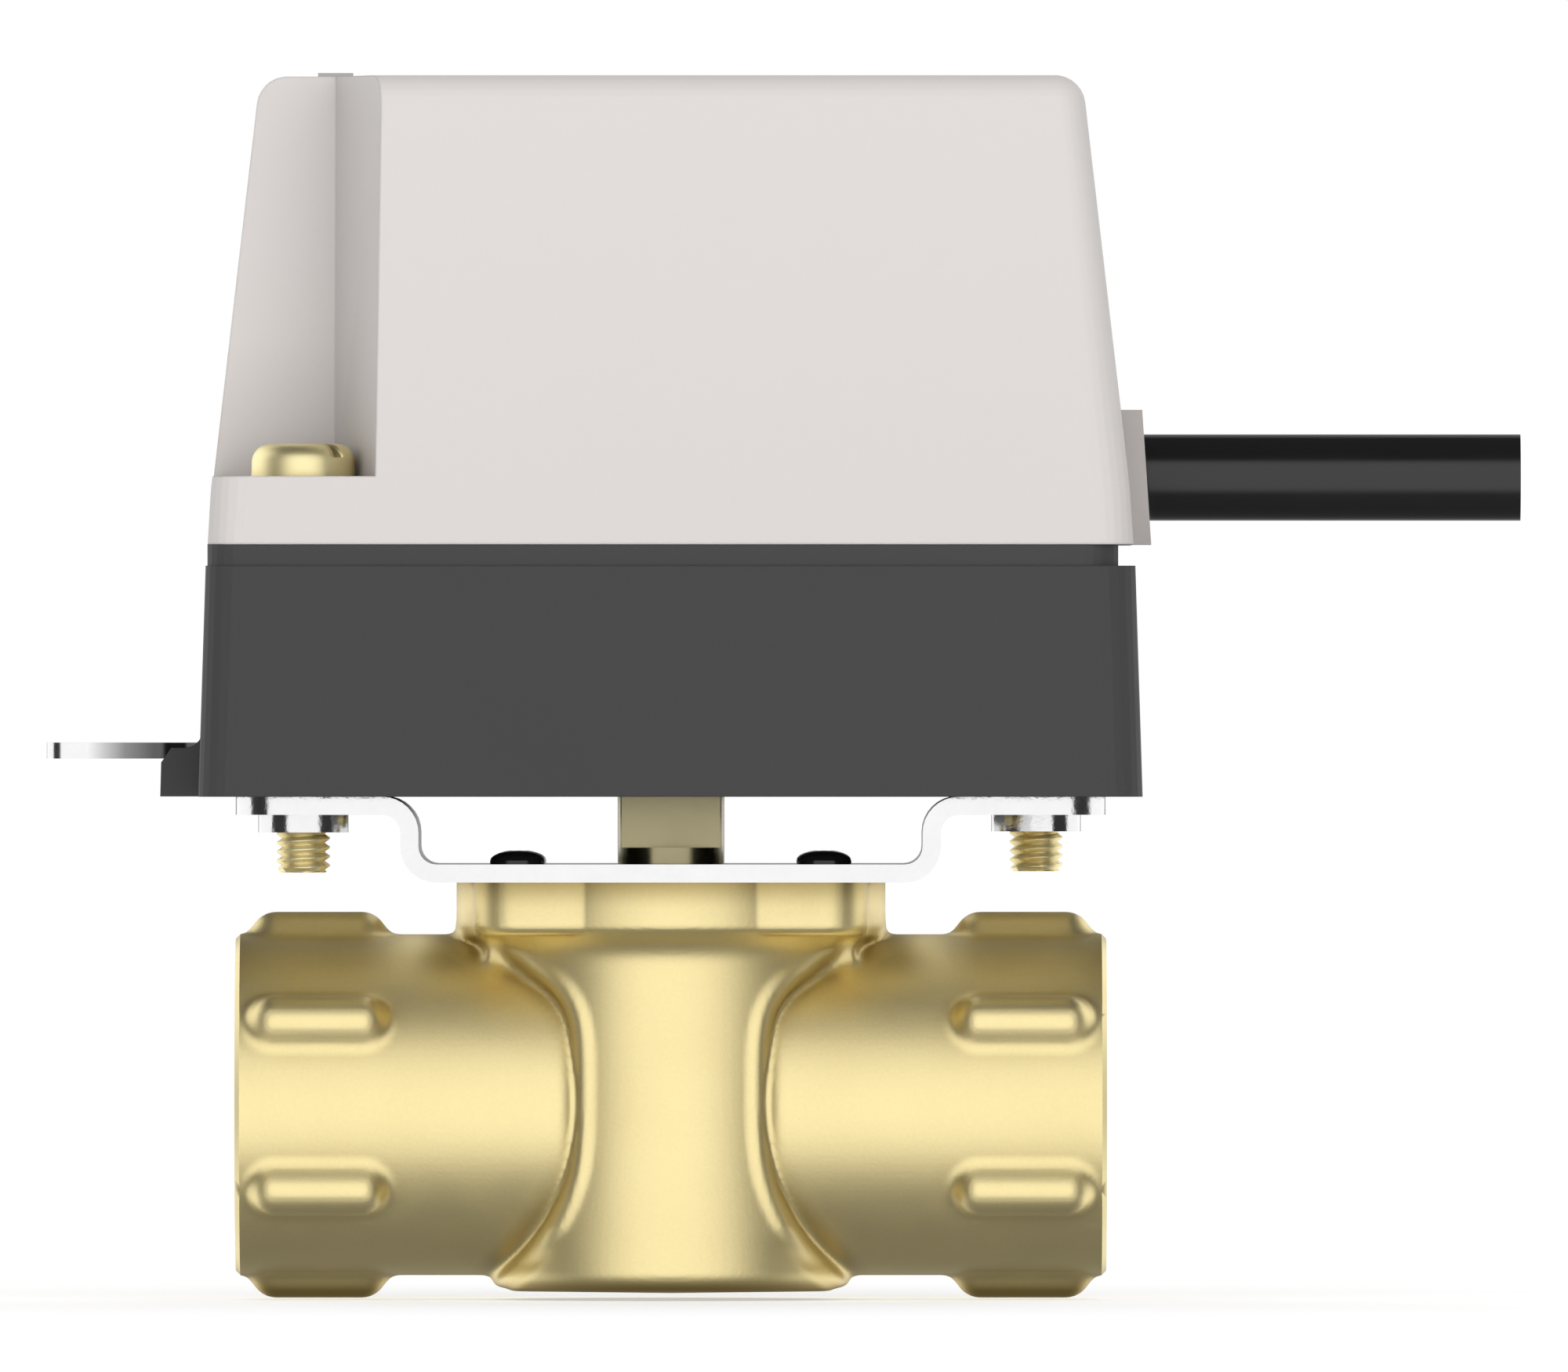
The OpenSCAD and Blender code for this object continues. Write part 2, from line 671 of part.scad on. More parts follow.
// A seat ring stands on its back face and has a hollow that fits the ball
module seat() {
    rotate([0, 90, 0]) difference() {
        ring(chamber_d / 2 - run_fit, port_d / 2, seat_back - seat_t, seat_t);
        sphere(d = ball_d + 2 * seat_gap, $fn = 96);
    }
}

module seat_inlet() color("white") at_stem() mirror([1, 0, 0]) seat();

module seat_outlet() color("white") at_stem() seat();

module seat_retainer() color("darkkhaki") at_stem() rotate([0, 90, 0]) difference() {
    ring(chamber_d / 2 - run_fit, port_d / 2, seat_back, retainer_t);
    translate([-key_slot_w / 2, -chamber_d, seat_back + retainer_t - 2])
        cube([key_slot_w, 2 * chamber_d, 3]);
}

module thrust_washer() color("white") at_stem()
    ring(collar_d / 2, stem_r + static_fit, washer_z, washer_t);

module ball() color("silver") at_stem() difference() {
    sphere(d = ball_d, $fn = 96);
    rotate([90, 0, 0]) cylinder(d = port_d, h = ball_d, center = true);
    translate([-ball_d, -tang_t / 2 - static_fit, tongue_z - 2 * static_fit])
        cube([2 * ball_d, tang_t + 2 * static_fit, ball_d]);
}

module valve_stem() color("darkgoldenrod") at_stem() {
    // Tongue that sits in the ball's slot
    intersection() {
        translate([-tongue_len / 2, -tang_t / 2, tongue_z])
            cube([tongue_len, tang_t, collar_z - tongue_z + e]);
        translate([0, 0, tongue_z]) cylinder(d = collar_d, h = collar_z);
    }
    difference() {
        union() {
            translate([0, 0, collar_z]) cylinder(d = collar_d, h = collar_t);
            translate([0, 0, collar_z]) cylinder(r = stem_r, h = tang_z - collar_z);
        }
        for (k = [-0.5, 0.5])
            ring(stem_r + 1, stem_r - groove_depth, groove_z + k * oring_pitch - groove_h / 2, groove_h);
    }
    // Double-flat tang
    intersection() {
        translate([0, 0, tang_z - e]) cylinder(r = stem_r, h = tang_len + e);
        translate([-stem_d, -tang_t / 2, tang_z - e]) cube([2 * stem_d, tang_t, tang_len + e]);
    }
}

module stem_orings() color("dimgray") at_stem() for (k = [-0.5, 0.5])
    translate([0, 0, groove_z + k * oring_pitch]) rotate_extrude()
        translate([stem_r + run_fit / 2 - groove_depth / 2, 0]) circle(d = oring_d, $fn = 24);

// Bracket

// Side view of the joggled sheet's right half, from its bottom round to its top
function bracket_half() = let (ro = bend_r + sheet_t, x = leg_x) concat(
    arc(x - ro, pad_top + ro, ro, -90, 0, 8),
    arc(x + bend_r, wing_z - bend_r, bend_r, 180, 90, 6),
    [[bracket_len / 2, wing_z], [bracket_len / 2, head_z]],
    arc(x + bend_r, head_z - ro, ro, 90, 180, 8),
    arc(x - ro, low_top + bend_r, bend_r, 0, -90, 6));

module bracket() color("gainsboro") at_stem() difference() {
    intersection() {
        mirrored_slice(bracket_half(), bracket_w);
        slab(-bracket_len / 2, bracket_len / 2, bracket_w / 2, pad_top - 1, head_z, wing_corner);
    }
    translate([0, 0, pad_top - 1]) cylinder(r = stem_r + 0.8, h = sheet_t + 2);
    for (x = [-bolt, bolt], y = [-bolt, bolt])
        translate([x, y, pad_top - 1])
            cylinder(d = pad_screw_d + 2 * static_fit, h = sheet_t + 2, $fn = 32);
    at_head_screws() translate([0, 0, wing_z - 1])
        cylinder(d = nut_shank_d + 2 * run_fit, h = sheet_t + 2);
}

module at_head_screws() {
    for (s = [-1, 1]) translate([s * head_screw_x, s * head_screw_y, 0]) children();
}

module button_screw() {
    r = pad_screw_head_d / 2;
    rim = 0.4;
    dome = pad_screw_head_h - rim;
    rotate_extrude($fn = 48) polygon(concat(
        [[0, -pad_screw_len], [pad_screw_d / 2, -pad_screw_len], [pad_screw_d / 2, 0], [r, 0]],
        [for (a = [0:15:90]) [r * cos(a), rim + dome * sin(a)]]));
}

module bracket_screws() color("black") at_stem()
    for (x = [-bolt, bolt], y = [-bolt, bolt]) translate([x, y, low_top]) difference() {
        button_screw();
        translate([0, 0, 0.3]) cylinder(d = 2.4, h = 3, $fn = 6);
    }

module clinch_nuts() color("silver") at_stem() at_head_screws() difference() {
    union() {
        translate([0, 0, wing_z - nut_h]) cylinder(d = nut_d, h = nut_h);
        translate([0, 0, wing_z - e]) cylinder(d = nut_shank_d, h = nut_shank_h + e);
    }
    translate([0, 0, wing_z - nut_h - 1]) cylinder(d = head_screw_d + 2 * run_fit, h = nut_h + sheet_t + 2);
}

module head_screw() {
    r = head_screw_head_d / 2;
    edge = head_screw_round;
    bottom = wing_z - nut_h - head_screw_out;
    difference() {
        union() {
            translate([0, 0, pocket_floor]) rotate_extrude() polygon(concat(
                [[0, 0], [r, 0]],
                arc(r - edge - 0.1, head_screw_head_h - edge, edge, 5, 90, 6),
                [[0, head_screw_head_h]]));
            translate([0, 0, bottom + 0.5]) cylinder(d = head_screw_d, h = pocket_floor - bottom);
            translate([0, 0, bottom]) cylinder(d1 = head_screw_d - 1, d2 = head_screw_d, h = 0.5 + e);
        }
        translate([-r, -slot_w / 2, pocket_floor + head_screw_head_h - slot_depth])
            cube([2 * r, slot_w, slot_depth + 1]);
    }
}

module head_screws() color("gold") at_stem() {
    translate([-head_screw_x, -head_screw_y, 0]) rotate([0, 0, slot_turns[0]]) head_screw();
    translate([head_screw_x, head_screw_y, 0]) rotate([0, 0, slot_turns[1]]) head_screw();
}

// Shells of the head

// Side view of the shelf and its cheeks, from the base's left wall outwards
function cheek_side() = let (wall = -base_x + 0.3, out = -base_x - shelf_out, top = head_z + cheek_h) concat(
    [[-base_x + base_wall, head_z], [out, head_z], [out + 0.1, top - 1.6], [out + 0.4, top - 1.2],
    [out + 1.2, top]],
    arc(wall - cheek_fillet, top + cheek_fillet, cheek_fillet, -90, 0, 5),
    [[-base_x + base_wall, top + cheek_fillet]]);

module posts() {
    at_head_screws() translate([0, 0, floor_z - e]) cylinder(d = post_d, h = lip_z - floor_z + e);
    for (p = plate_posts)
        translate([p[0], p[1], floor_z - e])
            cylinder(d = plate_post_d, h = plate_z - floor_z + e, $fn = 48);
    for (s = [-1, 1])
        translate([s * head_screw_x - 1, s > 0 ? head_screw_y : -base_y + base_wall, floor_z - e])
            cube([2, base_y - base_wall - head_screw_y, base_h - floor_t - 3]);
}

module head_base() color("dimgray") at_stem() difference() {
    union() {
        difference() {
            union() {
                hull() {
                    slab(-base_x, base_x, base_y, head_z, e, base_corner);
                    slab(-base_x + base_draft, base_x - base_draft, base_y - base_draft,
                        shoulder_z - e, e, base_corner);
                }
                slab(-lip_left, lip_right, lip_y, shoulder_z - e, lip_h + e, base_corner - lip_inset);
                translate([0, slot_back + cheek_w, 0]) rotate([90, 0, 0])
                    linear_extrude(slot_back - slot_front + 2 * cheek_w) polygon(cheek_side());
            }
            slab(-cavity_left, cavity_right, cavity_y, floor_z, base_h + lip_h, base_corner - base_wall);
        }
        posts();
        translate([pivot_x, 0, floor_z - e])
            cylinder(d = pin_d + 2 * pin_post_wall, h = lever_bottom - floor_z - run_fit + e);
    }
    // Slot that the lever swings in
    translate([-base_x - shelf_out - 1, slot_front, lever_bottom - lever_gap])
        cube([shelf_out + base_wall + base_draft + 2, slot_back - slot_front, lever_t + 2 * lever_gap]);
    // Gap above the shelf, between the cheeks
    translate([-base_x - shelf_out - 1, slot_front, lever_bottom - lever_gap])
        cube([shelf_out + 1, slot_back - slot_front, cheek_h + cheek_fillet]);
    translate([0, 0, head_z - 1]) cylinder(r = hub_d / 2 + hub_collar + run_fit, h = floor_t + 2);
    translate([pivot_x, 0, head_z + 1]) cylinder(r = pin_d / 2 + run_fit, h = 10);
    at_head_screws() translate([0, 0, head_z - 1])
        cylinder(d = head_screw_d + head_screw_room, h = base_h + lip_h + 2);
    for (p = plate_posts)
        translate([p[0], p[1], plate_z - 8]) cylinder(r = small_hole_r, h = 9, $fn = 32);
}

// Plan of a screw pocket, grown by w into the cover
function pocket_plan(w) = let (far = 2 * base_y, side = w / cos(atan(pocket_lean / (cover_y - pocket_y)))) [
    [-pocket_x + side + pocket_lean * (far - cover_y) / (cover_y - pocket_y), -far],
    [-pocket_x - pocket_lean + side - pocket_lean * w / (cover_y - pocket_y), -pocket_y + w],
    [-far, -pocket_y + w], [-far, -far]];

// Both pockets lie opposite each other across the stem
module pockets(w, z) {
    for (a = [0, 180]) rotate([0, 0, a])
        translate([0, 0, z]) linear_extrude(cover_h + 1) polygon(pocket_plan(w));
}

module cover_outside() hull() {
    slab(-cover_x, cover_x, cover_y, lip_z, e, base_corner);
    slab(-band_x, band_x, band_y, kink_z, e, base_corner);
    for (sx = [-1, 1], sy = [-1, 1])
        translate([sx * (band_x - cover_taper_x - cover_edge), sy * (band_y - cover_taper_y - cover_edge),
            cover_top - cover_edge])
            sphere(r = cover_edge, $fn = 28);
}

module cover_inside() hull() {
    w = cover_wall;
    rise = cover_top - w - kink_z;
    top_x = band_x - w - rise * lean(cover_taper_x);
    top_y = band_y - w - rise * lean(cover_taper_y);
    slab(-cover_x + w, cover_x - w, cover_y - w, lip_z - 1, 1, base_corner - base_wall);
    slab(w - band_x, band_x - w, band_y - w, kink_z, e, base_corner - base_wall);
    slab(-top_x, top_x, top_y, cover_top - w - e, e, base_corner - base_wall);
}

module head_cover() color("linen") at_stem() difference() {
    union() {
        difference() {
            cover_outside();
            difference() {
                cover_inside();
                pockets(cover_wall, pocket_floor - cover_wall);
            }
        }
        at_head_screws() translate([0, 0, lip_z]) cylinder(d = post_d, h = pocket_floor - lip_z - 1);
    }
    pockets(0, ledge_z);
    // Sunk floor behind the pocket's thin front edge
    intersection() {
        pockets(0, pocket_floor);
        slab(-cover_x + 1.5, cover_x - 1.5, cover_y - 1.2, pocket_floor, pocket_sink + e, base_corner);
    }
    at_head_screws() translate([0, 0, lip_z - 1])
        cylinder(d = head_screw_d + head_screw_room, h = pocket_z + 2);
    // Slot for the grommet, open at the bottom
    translate([cover_x - 3 * cover_wall, -grommet_w / 2 + grommet_rim - static_fit, lip_z - 1])
        cube([4 * cover_wall, grommet_w - 2 * grommet_rim + 2 * static_fit,
            grommet_h - grommet_rim + static_fit + 1]);
    translate([-window_x, 0, cover_top - 5]) linear_extrude(6)
        square([window_w + 2 * static_fit, window_len + 2 * static_fit], center = true);
}

module status_window() color("gray") at_stem() translate([-window_x, 0, 0]) {
    under = cover_top - cover_wall;
    translate([0, 0, under - window_flange_t]) linear_extrude(cover_wall + window_out + window_flange_t)
        square([window_w, window_len], center = true);
    translate([0, 0, under - window_flange_t - e]) linear_extrude(window_flange_t - static_fit)
        square([window_w + 2 * window_flange, window_len + 2 * window_flange], center = true);
}

// Cable

module cable_grommet() color("gray") at_stem() difference() {
    // Inner flange stands clear of the cover's wall, which leans in over it
    inner = cover_side - cover_wall - 2 * static_fit;
    union() {
        // Outer flange, which follows the cover's leaning side
        translate([0, grommet_w / 2, 0]) rotate([90, 0, 0]) linear_extrude(grommet_w) polygon([
            [cover_x + static_fit, lip_z + e], [grommet_face, lip_z + e],
            [grommet_face - 1, lip_z + grommet_h], [cover_side + static_fit, lip_z + grommet_h],
            [band_x + static_fit, kink_z]]);
        translate([inner - e, -grommet_w / 2 + grommet_rim, lip_z + e])
            cube([cover_x + 0.3 - inner, grommet_w - 2 * grommet_rim, grommet_h - grommet_rim]);
        translate([inner - grommet_flange, -grommet_w / 2, lip_z + e])
            cube([grommet_flange, grommet_w, grommet_h]);
    }
    cable_hole();
}

module cable_hole() {
    translate([0, 0, cable_axis]) rotate([0, 90, 0])
        cylinder(d = cable_d + 2 * run_fit, h = grommet_face + 1);
}

module cable_sheath() color("black") at_stem() translate([sheath_start, 0, cable_axis]) rotate([0, 90, 0])
    difference() {
        cylinder(d = cable_d, h = cable_end - sheath_start, $fn = 64);
        translate([0, 0, -1]) cylinder(d = sheath_bore, h = cable_end, $fn = 48);
    }

module cable_cores() color("saddlebrown") at_stem() for (i = [0:core_count - 1]) {
    a = 90 + (i - (core_count - 1) / 2) * 360 / core_count;
    y = core_circle * cos(a);
    z = cable_axis + core_circle * sin(a);
    far = ((core_count - 1) / 2 - i) * block_pitch;
    out = [sheath_start - 1, y, z];
    in = [block_x + block_len + 1, far, entry_z];
    rod(out, [cable_end, y, z], core_d / 2);
    rod(in, out, core_d / 2);
    for (bend = [out, in]) translate(bend) sphere(r = core_d / 2 + 0.05, $fn = 24);
    rod(in - [3, 0, 0], in, core_d / 2);
}

clamp_bolt = (cable_d + clamp_w) / 4;

module clamp_seat() color("dimgray") at_stem() difference() {
    translate([clamp_x, -clamp_w / 2, plate_top])
        cube([clamp_t, clamp_w, cable_axis - plate_top - static_fit]);
    cable_hole();
    clamp_holes(small_hole_r);
}

module cord_clamp() color("dimgray") at_stem() difference() {
    translate([clamp_x, -clamp_w / 2, cable_axis + static_fit])
        cube([clamp_t, clamp_w, cable_d / 2 + clamp_strap]);
    cable_hole();
    clamp_holes(small_hole_r);
}

module clamp_holes(r) {
    for (s = [-1, 1]) translate([clamp_x + clamp_t / 2, s * clamp_bolt, plate_top + 2])
        cylinder(r = r, h = clamp_top, $fn = 32);
}

module small_screw(len) {
    translate([0, 0, -len]) cylinder(r = small_screw_r, h = len + e, $fn = 32);
    difference() {
        cylinder(r = 2 * small_screw_r - 0.2, h = small_head_h, $fn = 32);
        translate([-3, -0.35, small_head_h / 2]) cube([6, 0.7, small_head_h]);
    }
}

module clamp_screws() color("silver") at_stem() for (s = [-1, 1])
    translate([clamp_x + clamp_t / 2, s * clamp_bolt, clamp_top])
        small_screw(clamp_top - plate_top - 2.5);

module terminal_block() color("whitesmoke") at_stem() {
    w = core_count * block_pitch + 2 * block_wall;
    difference() {
        translate([block_x, -w / 2, plate_top]) cube([block_len, w, block_h]);
        for (i = [0:core_count - 1]) {
            y = (i - (core_count - 1) / 2) * block_pitch;
            translate([block_x + block_len - 4, y, entry_z]) rotate([0, 90, 0])
                cylinder(r = core_d / 2 + static_fit, h = 5, $fn = 24);
            translate([block_x + terminal_edge, y, plate_top + block_h - 4])
                cylinder(r = terminal_screw_d / 2 + static_fit, h = 5, $fn = 24);
        }
        for (i = [-1:1]) translate([block_x - 1, i * block_pitch, entry_z]) rotate([0, 90, 0])
            cylinder(r = lead_d / 2 + static_fit, h = 3, $fn = 24);
    }
}

module terminal_screws() color("silver") at_stem() for (i = [0:core_count - 1])
    translate([block_x + terminal_edge, (i - (core_count - 1) / 2) * block_pitch, plate_top + block_h - 4])
        difference() {
            cylinder(d = terminal_screw_d, h = 2.6, $fn = 24);
            translate([-2, -0.25, 1.9]) cube([4, 0.5, 1]);
        }

// Drive

module run_capacitor() color("khaki") at_stem()
    translate([motor_right + capacitor_gap, side_gap - cavity_y, plate_top]) linear_extrude(capacitor_h)
        polygon(round_rect(0, capacitor_w, 0, capacitor_w, 1, 4));

module motor_leads() color("steelblue") at_stem() for (i = [-1:1])
    rod([motor_right + lead_box_out, i * block_pitch, entry_z],
        [block_x + 1.5, i * block_pitch, entry_z], lead_d / 2);

module at_ears() {
    for (a = ear_angles) translate([motor_x + ear_r * cos(a), ear_r * sin(a), 0]) children();
}

module chassis_plate() color("lightsteelblue") at_stem() difference() {
    slab(-cavity_left + 2.5, cavity_right - 1.5, cavity_y - 0.4, plate_z, plate_t, 3);
    translate([0, 0, plate_z - 1]) cylinder(r = journal_d / 2 + run_fit, h = plate_t + 2);
    translate([pinion_x, 0, plate_z - 1])
        cylinder(r = shaft_d / 2 + boss_wall + static_fit, h = plate_t + 2);
    // Corners cut away round the two screw posts
    for (a = [0, 180]) rotate([0, 0, a]) translate([head_screw_x, head_screw_y, plate_z - 1]) {
        cylinder(d = post_d + 0.8, h = plate_t + 2);
        translate([-post_d / 2 - 0.4, 0, 0]) cube([post_d * 2, post_d, plate_t + 2]);
        translate([0, -post_d / 2 - 0.4, 0]) cube([post_d * 2, post_d * 2, plate_t + 2]);
    }
    for (p = plate_posts)
        translate([p[0], p[1], plate_z - 1]) cylinder(r = small_hole_r, h = plate_t + 2, $fn = 32);
    at_ears() translate([0, 0, plate_z - 1]) cylinder(r = small_hole_r, h = plate_t + 2, $fn = 32);
    switch_holes(plate_z - 1, plate_t + 2);
}

module plate_screws() color("silver") at_stem() for (p = plate_posts)
    translate([p[0], p[1], plate_top]) small_screw(plate_t + 6);

module motor_gearbox() color("lightgray") at_stem() difference() {
    union() {
        translate([motor_x, 0, plate_top]) cylinder(d = gearbox_d, h = gearbox_h, $fn = 96);
        for (a = ear_angles) translate([motor_x, 0, plate_top]) rotate([0, 0, a])
            difference() {
                linear_extrude(ear_t)
                    polygon(concat([[0, -ear_round], [0, ear_round]], arc(ear_r, 0, ear_round, 72, -72, 10)));
                translate([ear_r, 0, -1]) cylinder(r = small_hole_r, h = ear_t + 2, $fn = 32);
            }
        translate([motor_x, -lead_box_w / 2, entry_z - lead_box_h / 2])
            cube([gearbox_d / 2 + lead_box_out, lead_box_w, lead_box_h]);
        translate([pinion_x, 0, plate_z + e]) cylinder(r = shaft_d / 2 + boss_wall, h = plate_t + 1);
    }
    translate([pinion_x, 0, plate_z - 1])
        cylinder(r = shaft_d / 2 + run_fit, h = plate_t + shaft_in + 1 + 3 * static_fit);
}

module motor_can() color("silver") at_stem() translate([motor_x, 0, plate_top + gearbox_h]) {
    r = can_d / 2;
    rotate_extrude($fn = 96) polygon(concat(
        [[0, 0], [r + can_rim, 0], [r + can_rim, 1], [r, 1]],
        arc(r - can_round, can_h - can_round, can_round, 0, 90, 5),
        [[dish_d / 2, can_h], [dish_d / 2 - dish_depth, can_h - dish_depth], [0, can_h - dish_depth]]));
}

module motor_screws() color("silver") at_stem() at_ears()
    translate([0, 0, plate_top + ear_t]) small_screw(plate_t + ear_t + 1.5);

module motor_shaft() color("silver") at_stem()
    translate([pinion_x, 0, shaft_bottom])
        cylinder(r = shaft_d / 2, h = plate_top + shaft_in - shaft_bottom);

module motor_pinion() color("white") at_stem() translate([pinion_x, 0, 0]) difference() {
    translate([0, 0, sector_z + sector_t / 2 - pinion_t / 2]) linear_extrude(pinion_t)
        polygon(teeth(pinion_teeth, 0, pinion_teeth - 1, 180 / pinion_teeth));
    translate([0, 0, sector_z - 3]) cylinder(r = shaft_d / 2 + run_fit / 2, h = pinion_t + 6);
}

key_flat = hub_d / 2 - flat_depth;

// Seat of the gears and cams on the hub, with one flat
module keyed_bore(z, h) {
    intersection() {
        translate([0, 0, z]) cylinder(r = hub_d / 2 + run_fit, h = h);
        translate([-hub_d, -hub_d, z - 1]) cube([hub_d + key_flat + run_fit, 2 * hub_d, h + 2]);
    }
}

module output_hub() color("ivory") at_stem() difference() {
    union() {
        translate([0, 0, hub_z]) cylinder(r = hub_d / 2 + hub_collar, h = drive_z - hub_z + e);
        translate([0, 0, drive_z]) linear_extrude(drive_t) polygon(teeth(drive_teeth, 0, drive_teeth - 1));
        translate([0, 0, drive_z])
            cylinder(r = hub_d / 2 + hub_shoulder, h = cam_open_z - cam_t / 2 - drive_z);
        intersection() {
            translate([0, 0, drive_z]) cylinder(d = hub_d, h = plate_z - 0.3 - drive_z);
            translate([-hub_d, -hub_d, drive_z]) cube([hub_d + key_flat, 2 * hub_d, 2 * base_h]);
        }
        translate([0, 0, drive_z]) cylinder(d = journal_d, h = plate_top - drive_z);
    }
    intersection() {
        translate([0, 0, hub_z - 1]) cylinder(r = stem_r + run_fit, h = tang_z + tang_len - hub_z + 1.3);
        translate([-stem_d, -tang_t / 2 - static_fit, hub_z - 1])
            cube([2 * stem_d, tang_t + 2 * static_fit, tang_len + 10]);
    }
}

module sector_gear() color("silver") at_stem() {
    pitch = 360 / sector_teeth;
    first = round(sector_arc[0] / pitch);
    last = round(sector_arc[1] / pitch);
    difference() {
        union() {
            translate([0, 0, sector_z]) linear_extrude(sector_t) polygon(concat(
                teeth(sector_teeth, first, last), [[0, -4], [2, 2]]));
            translate([0, 0, sector_z]) cylinder(r = hub_d / 2 + web_round, h = sector_t);
        }
        keyed_bore(sector_z - 1, sector_t + 2);
        // Window in the web
        translate([0, 0, sector_z - 1]) linear_extrude(sector_t + 2) polygon(concat(
            arc(0, 0, pitch_sector - 1.25 * gear_m - sector_rim, sector_arc[0] + 15, sector_arc[1] - 15, 12),
            arc(0, 0, hub_d / 2 + web_round + 1.5, sector_arc[1] - 20, sector_arc[0] + 20, 10)));
    }
}

// One lobe that rises and falls as half a cosine wave each way
function cam_points(lobe_at) = [for (a = [0:6:354]) let (d = abs((a - lobe_at + 540) % 360 - 180))
    polar(cam_r + (d < 30 ? lobe_h * (1 + cos(6 * d)) / 2 : 0), a)];

module cam(z, lobe_at) difference() {
    translate([0, 0, z - cam_t / 2]) linear_extrude(cam_t) polygon(cam_points(lobe_at));
    keyed_bore(z - cam_t, 2 * cam_t);
}

module cam_closed() color("tomato") at_stem() cam(cam_closed_z, 0);

module cam_open() color("seagreen") at_stem() cam(cam_open_z, 270);

module switch_holes(z, h) {
    for (s = [-1, 1]) translate([switch_x + switch_depth / 2, s * switch_bolt, z])
        cylinder(r = switch_screw_r + static_fit, h = h, $fn = 32);
}

module microswitch(z) difference() {
    union() {
        translate([switch_x, -switch_len / 2, z - switch_t / 2])
            cube([switch_depth, switch_len, switch_t]);
        for (k = [-1:1]) translate([switch_x + switch_depth - e, k * tag_pitch - 1, z - 0.25])
            cube([3.5, 2, 0.5]);
    }
    translate([switch_x - 1, 0, z]) rotate([0, 90, 0])
        cylinder(d = plunger_d + 2 * run_fit, h = plunger_in + plunger_travel + 1.5, $fn = 32);
    switch_holes(z - switch_t, 2 * switch_t);
}

module plunger(z) translate([switch_x - plunger_out, 0, z]) rotate([0, 90, 0])
    cylinder(d = plunger_d, h = plunger_out + plunger_in, $fn = 32);

module switch_closed() color("dimgray") at_stem() microswitch(cam_closed_z);

module switch_open() color("dimgray") at_stem() microswitch(cam_open_z);

module plunger_closed() color("tomato") at_stem() plunger(cam_closed_z);

module plunger_open() color("tomato") at_stem() plunger(cam_open_z);

module switch_spacer() color("whitesmoke") at_stem() difference() {
    translate([switch_x + 2, -switch_len / 2, cam_open_z + switch_t / 2])
        cube([switch_depth - 2, switch_len, spacer_t]);
    switch_holes(cam_open_z, 2 * switch_t);
}

module switch_screws() color("silver") at_stem() {
    bottom = cam_open_z - switch_t / 2;
    for (s = [-1, 1]) translate([switch_x + switch_depth / 2, s * switch_bolt, bottom]) {
        cylinder(r = switch_screw_r, h = plate_top - 2 * static_fit - bottom, $fn = 32);
        translate([0, 0, 0.2 - small_head_h])
            cylinder(r = 2 * switch_screw_r - 0.2, h = small_head_h - 0.2, $fn = 32);
    }
}

// Lever

// Outline of the handle from the pivot to the tip, about the pivot
function handle_side() = let (tip = lever_tip + pivot_x, w = lever_w / 2, f = lever_flare / 2,
    wall = base_x + pivot_x) concat(
    [[0, w + f], [-wall + 1, w + f]],
    [for (i = [1:6]) [-wall - flare_len * i / 6, w + f * (1 + cos(180 * i / 6)) / 2]],
    arc(-tip + lever_corner, w - lever_corner, lever_corner, 90, 180, 5));

module manual_lever() color("silver") at_stem() translate([pivot_x, 0, lever_bottom]) {
    pitch = 360 / lever_teeth;
    last = round((lever_travel + 9) / pitch);
    side = handle_side();
    n = len(side);
    difference() {
        linear_extrude(lever_t) {
            polygon(concat(side, [for (i = [n - 1:-1:0]) [side[i][0], -side[i][1]]]));
            polygon(concat([[0, 0]], teeth(lever_teeth, -2, last, pitch / 2)));
            circle(d = lever_eye_d);
        }
        translate([0, 0, -1]) cylinder(r = pin_d / 2 + run_fit, h = lever_t + 2);
        translate([0, 0, -1]) linear_extrude(lever_t + 2) polygon(concat(
            arc(0, 0, pitch_lever - 5, 3, lever_travel - 1, 8), arc(0, 0, lever_eye_d / 2 + 4, 38, 9, 6)));
    }
}

clip_z = lever_bottom + lever_t + static_fit;

module lever_pin() color("silver") at_stem() translate([pivot_x, 0, 0]) difference() {
    translate([0, 0, head_z + 1.2]) cylinder(d = pin_d, h = clip_z + clip_t + 1 - head_z - 1.2);
    ring(pin_d, pin_d / 2 - clip_depth, clip_z, clip_t);
}

module lever_clip() color("dimgray") at_stem() translate([pivot_x, 0, 0]) difference() {
    ring(pin_d / 2 + 1.6, pin_d / 2 - clip_depth + run_fit, clip_z + run_fit, clip_t - 2 * run_fit);
    translate([0, -1.5, clip_z - 1]) cube([pin_d, 3, 3]);
}

valve_body();
seat_inlet();
seat_outlet();
seat_retainer();
thrust_washer();
ball();
valve_stem();
stem_orings();
bracket();
bracket_screws();
clinch_nuts();
head_screws();
head_base();
head_cover();
status_window();
cable_grommet();
cable_sheath();
cable_cores();
clamp_seat();
cord_clamp();
clamp_screws();
terminal_block();
terminal_screws();
run_capacitor();
motor_leads();
chassis_plate();
plate_screws();
motor_gearbox();
motor_can();
motor_screws();
motor_shaft();
motor_pinion();
output_hub();
sector_gear();
cam_closed();
cam_open();
switch_closed();
switch_open();
plunger_closed();
plunger_open();
switch_spacer();
switch_screws();
manual_lever();
lever_pin();
lever_clip();
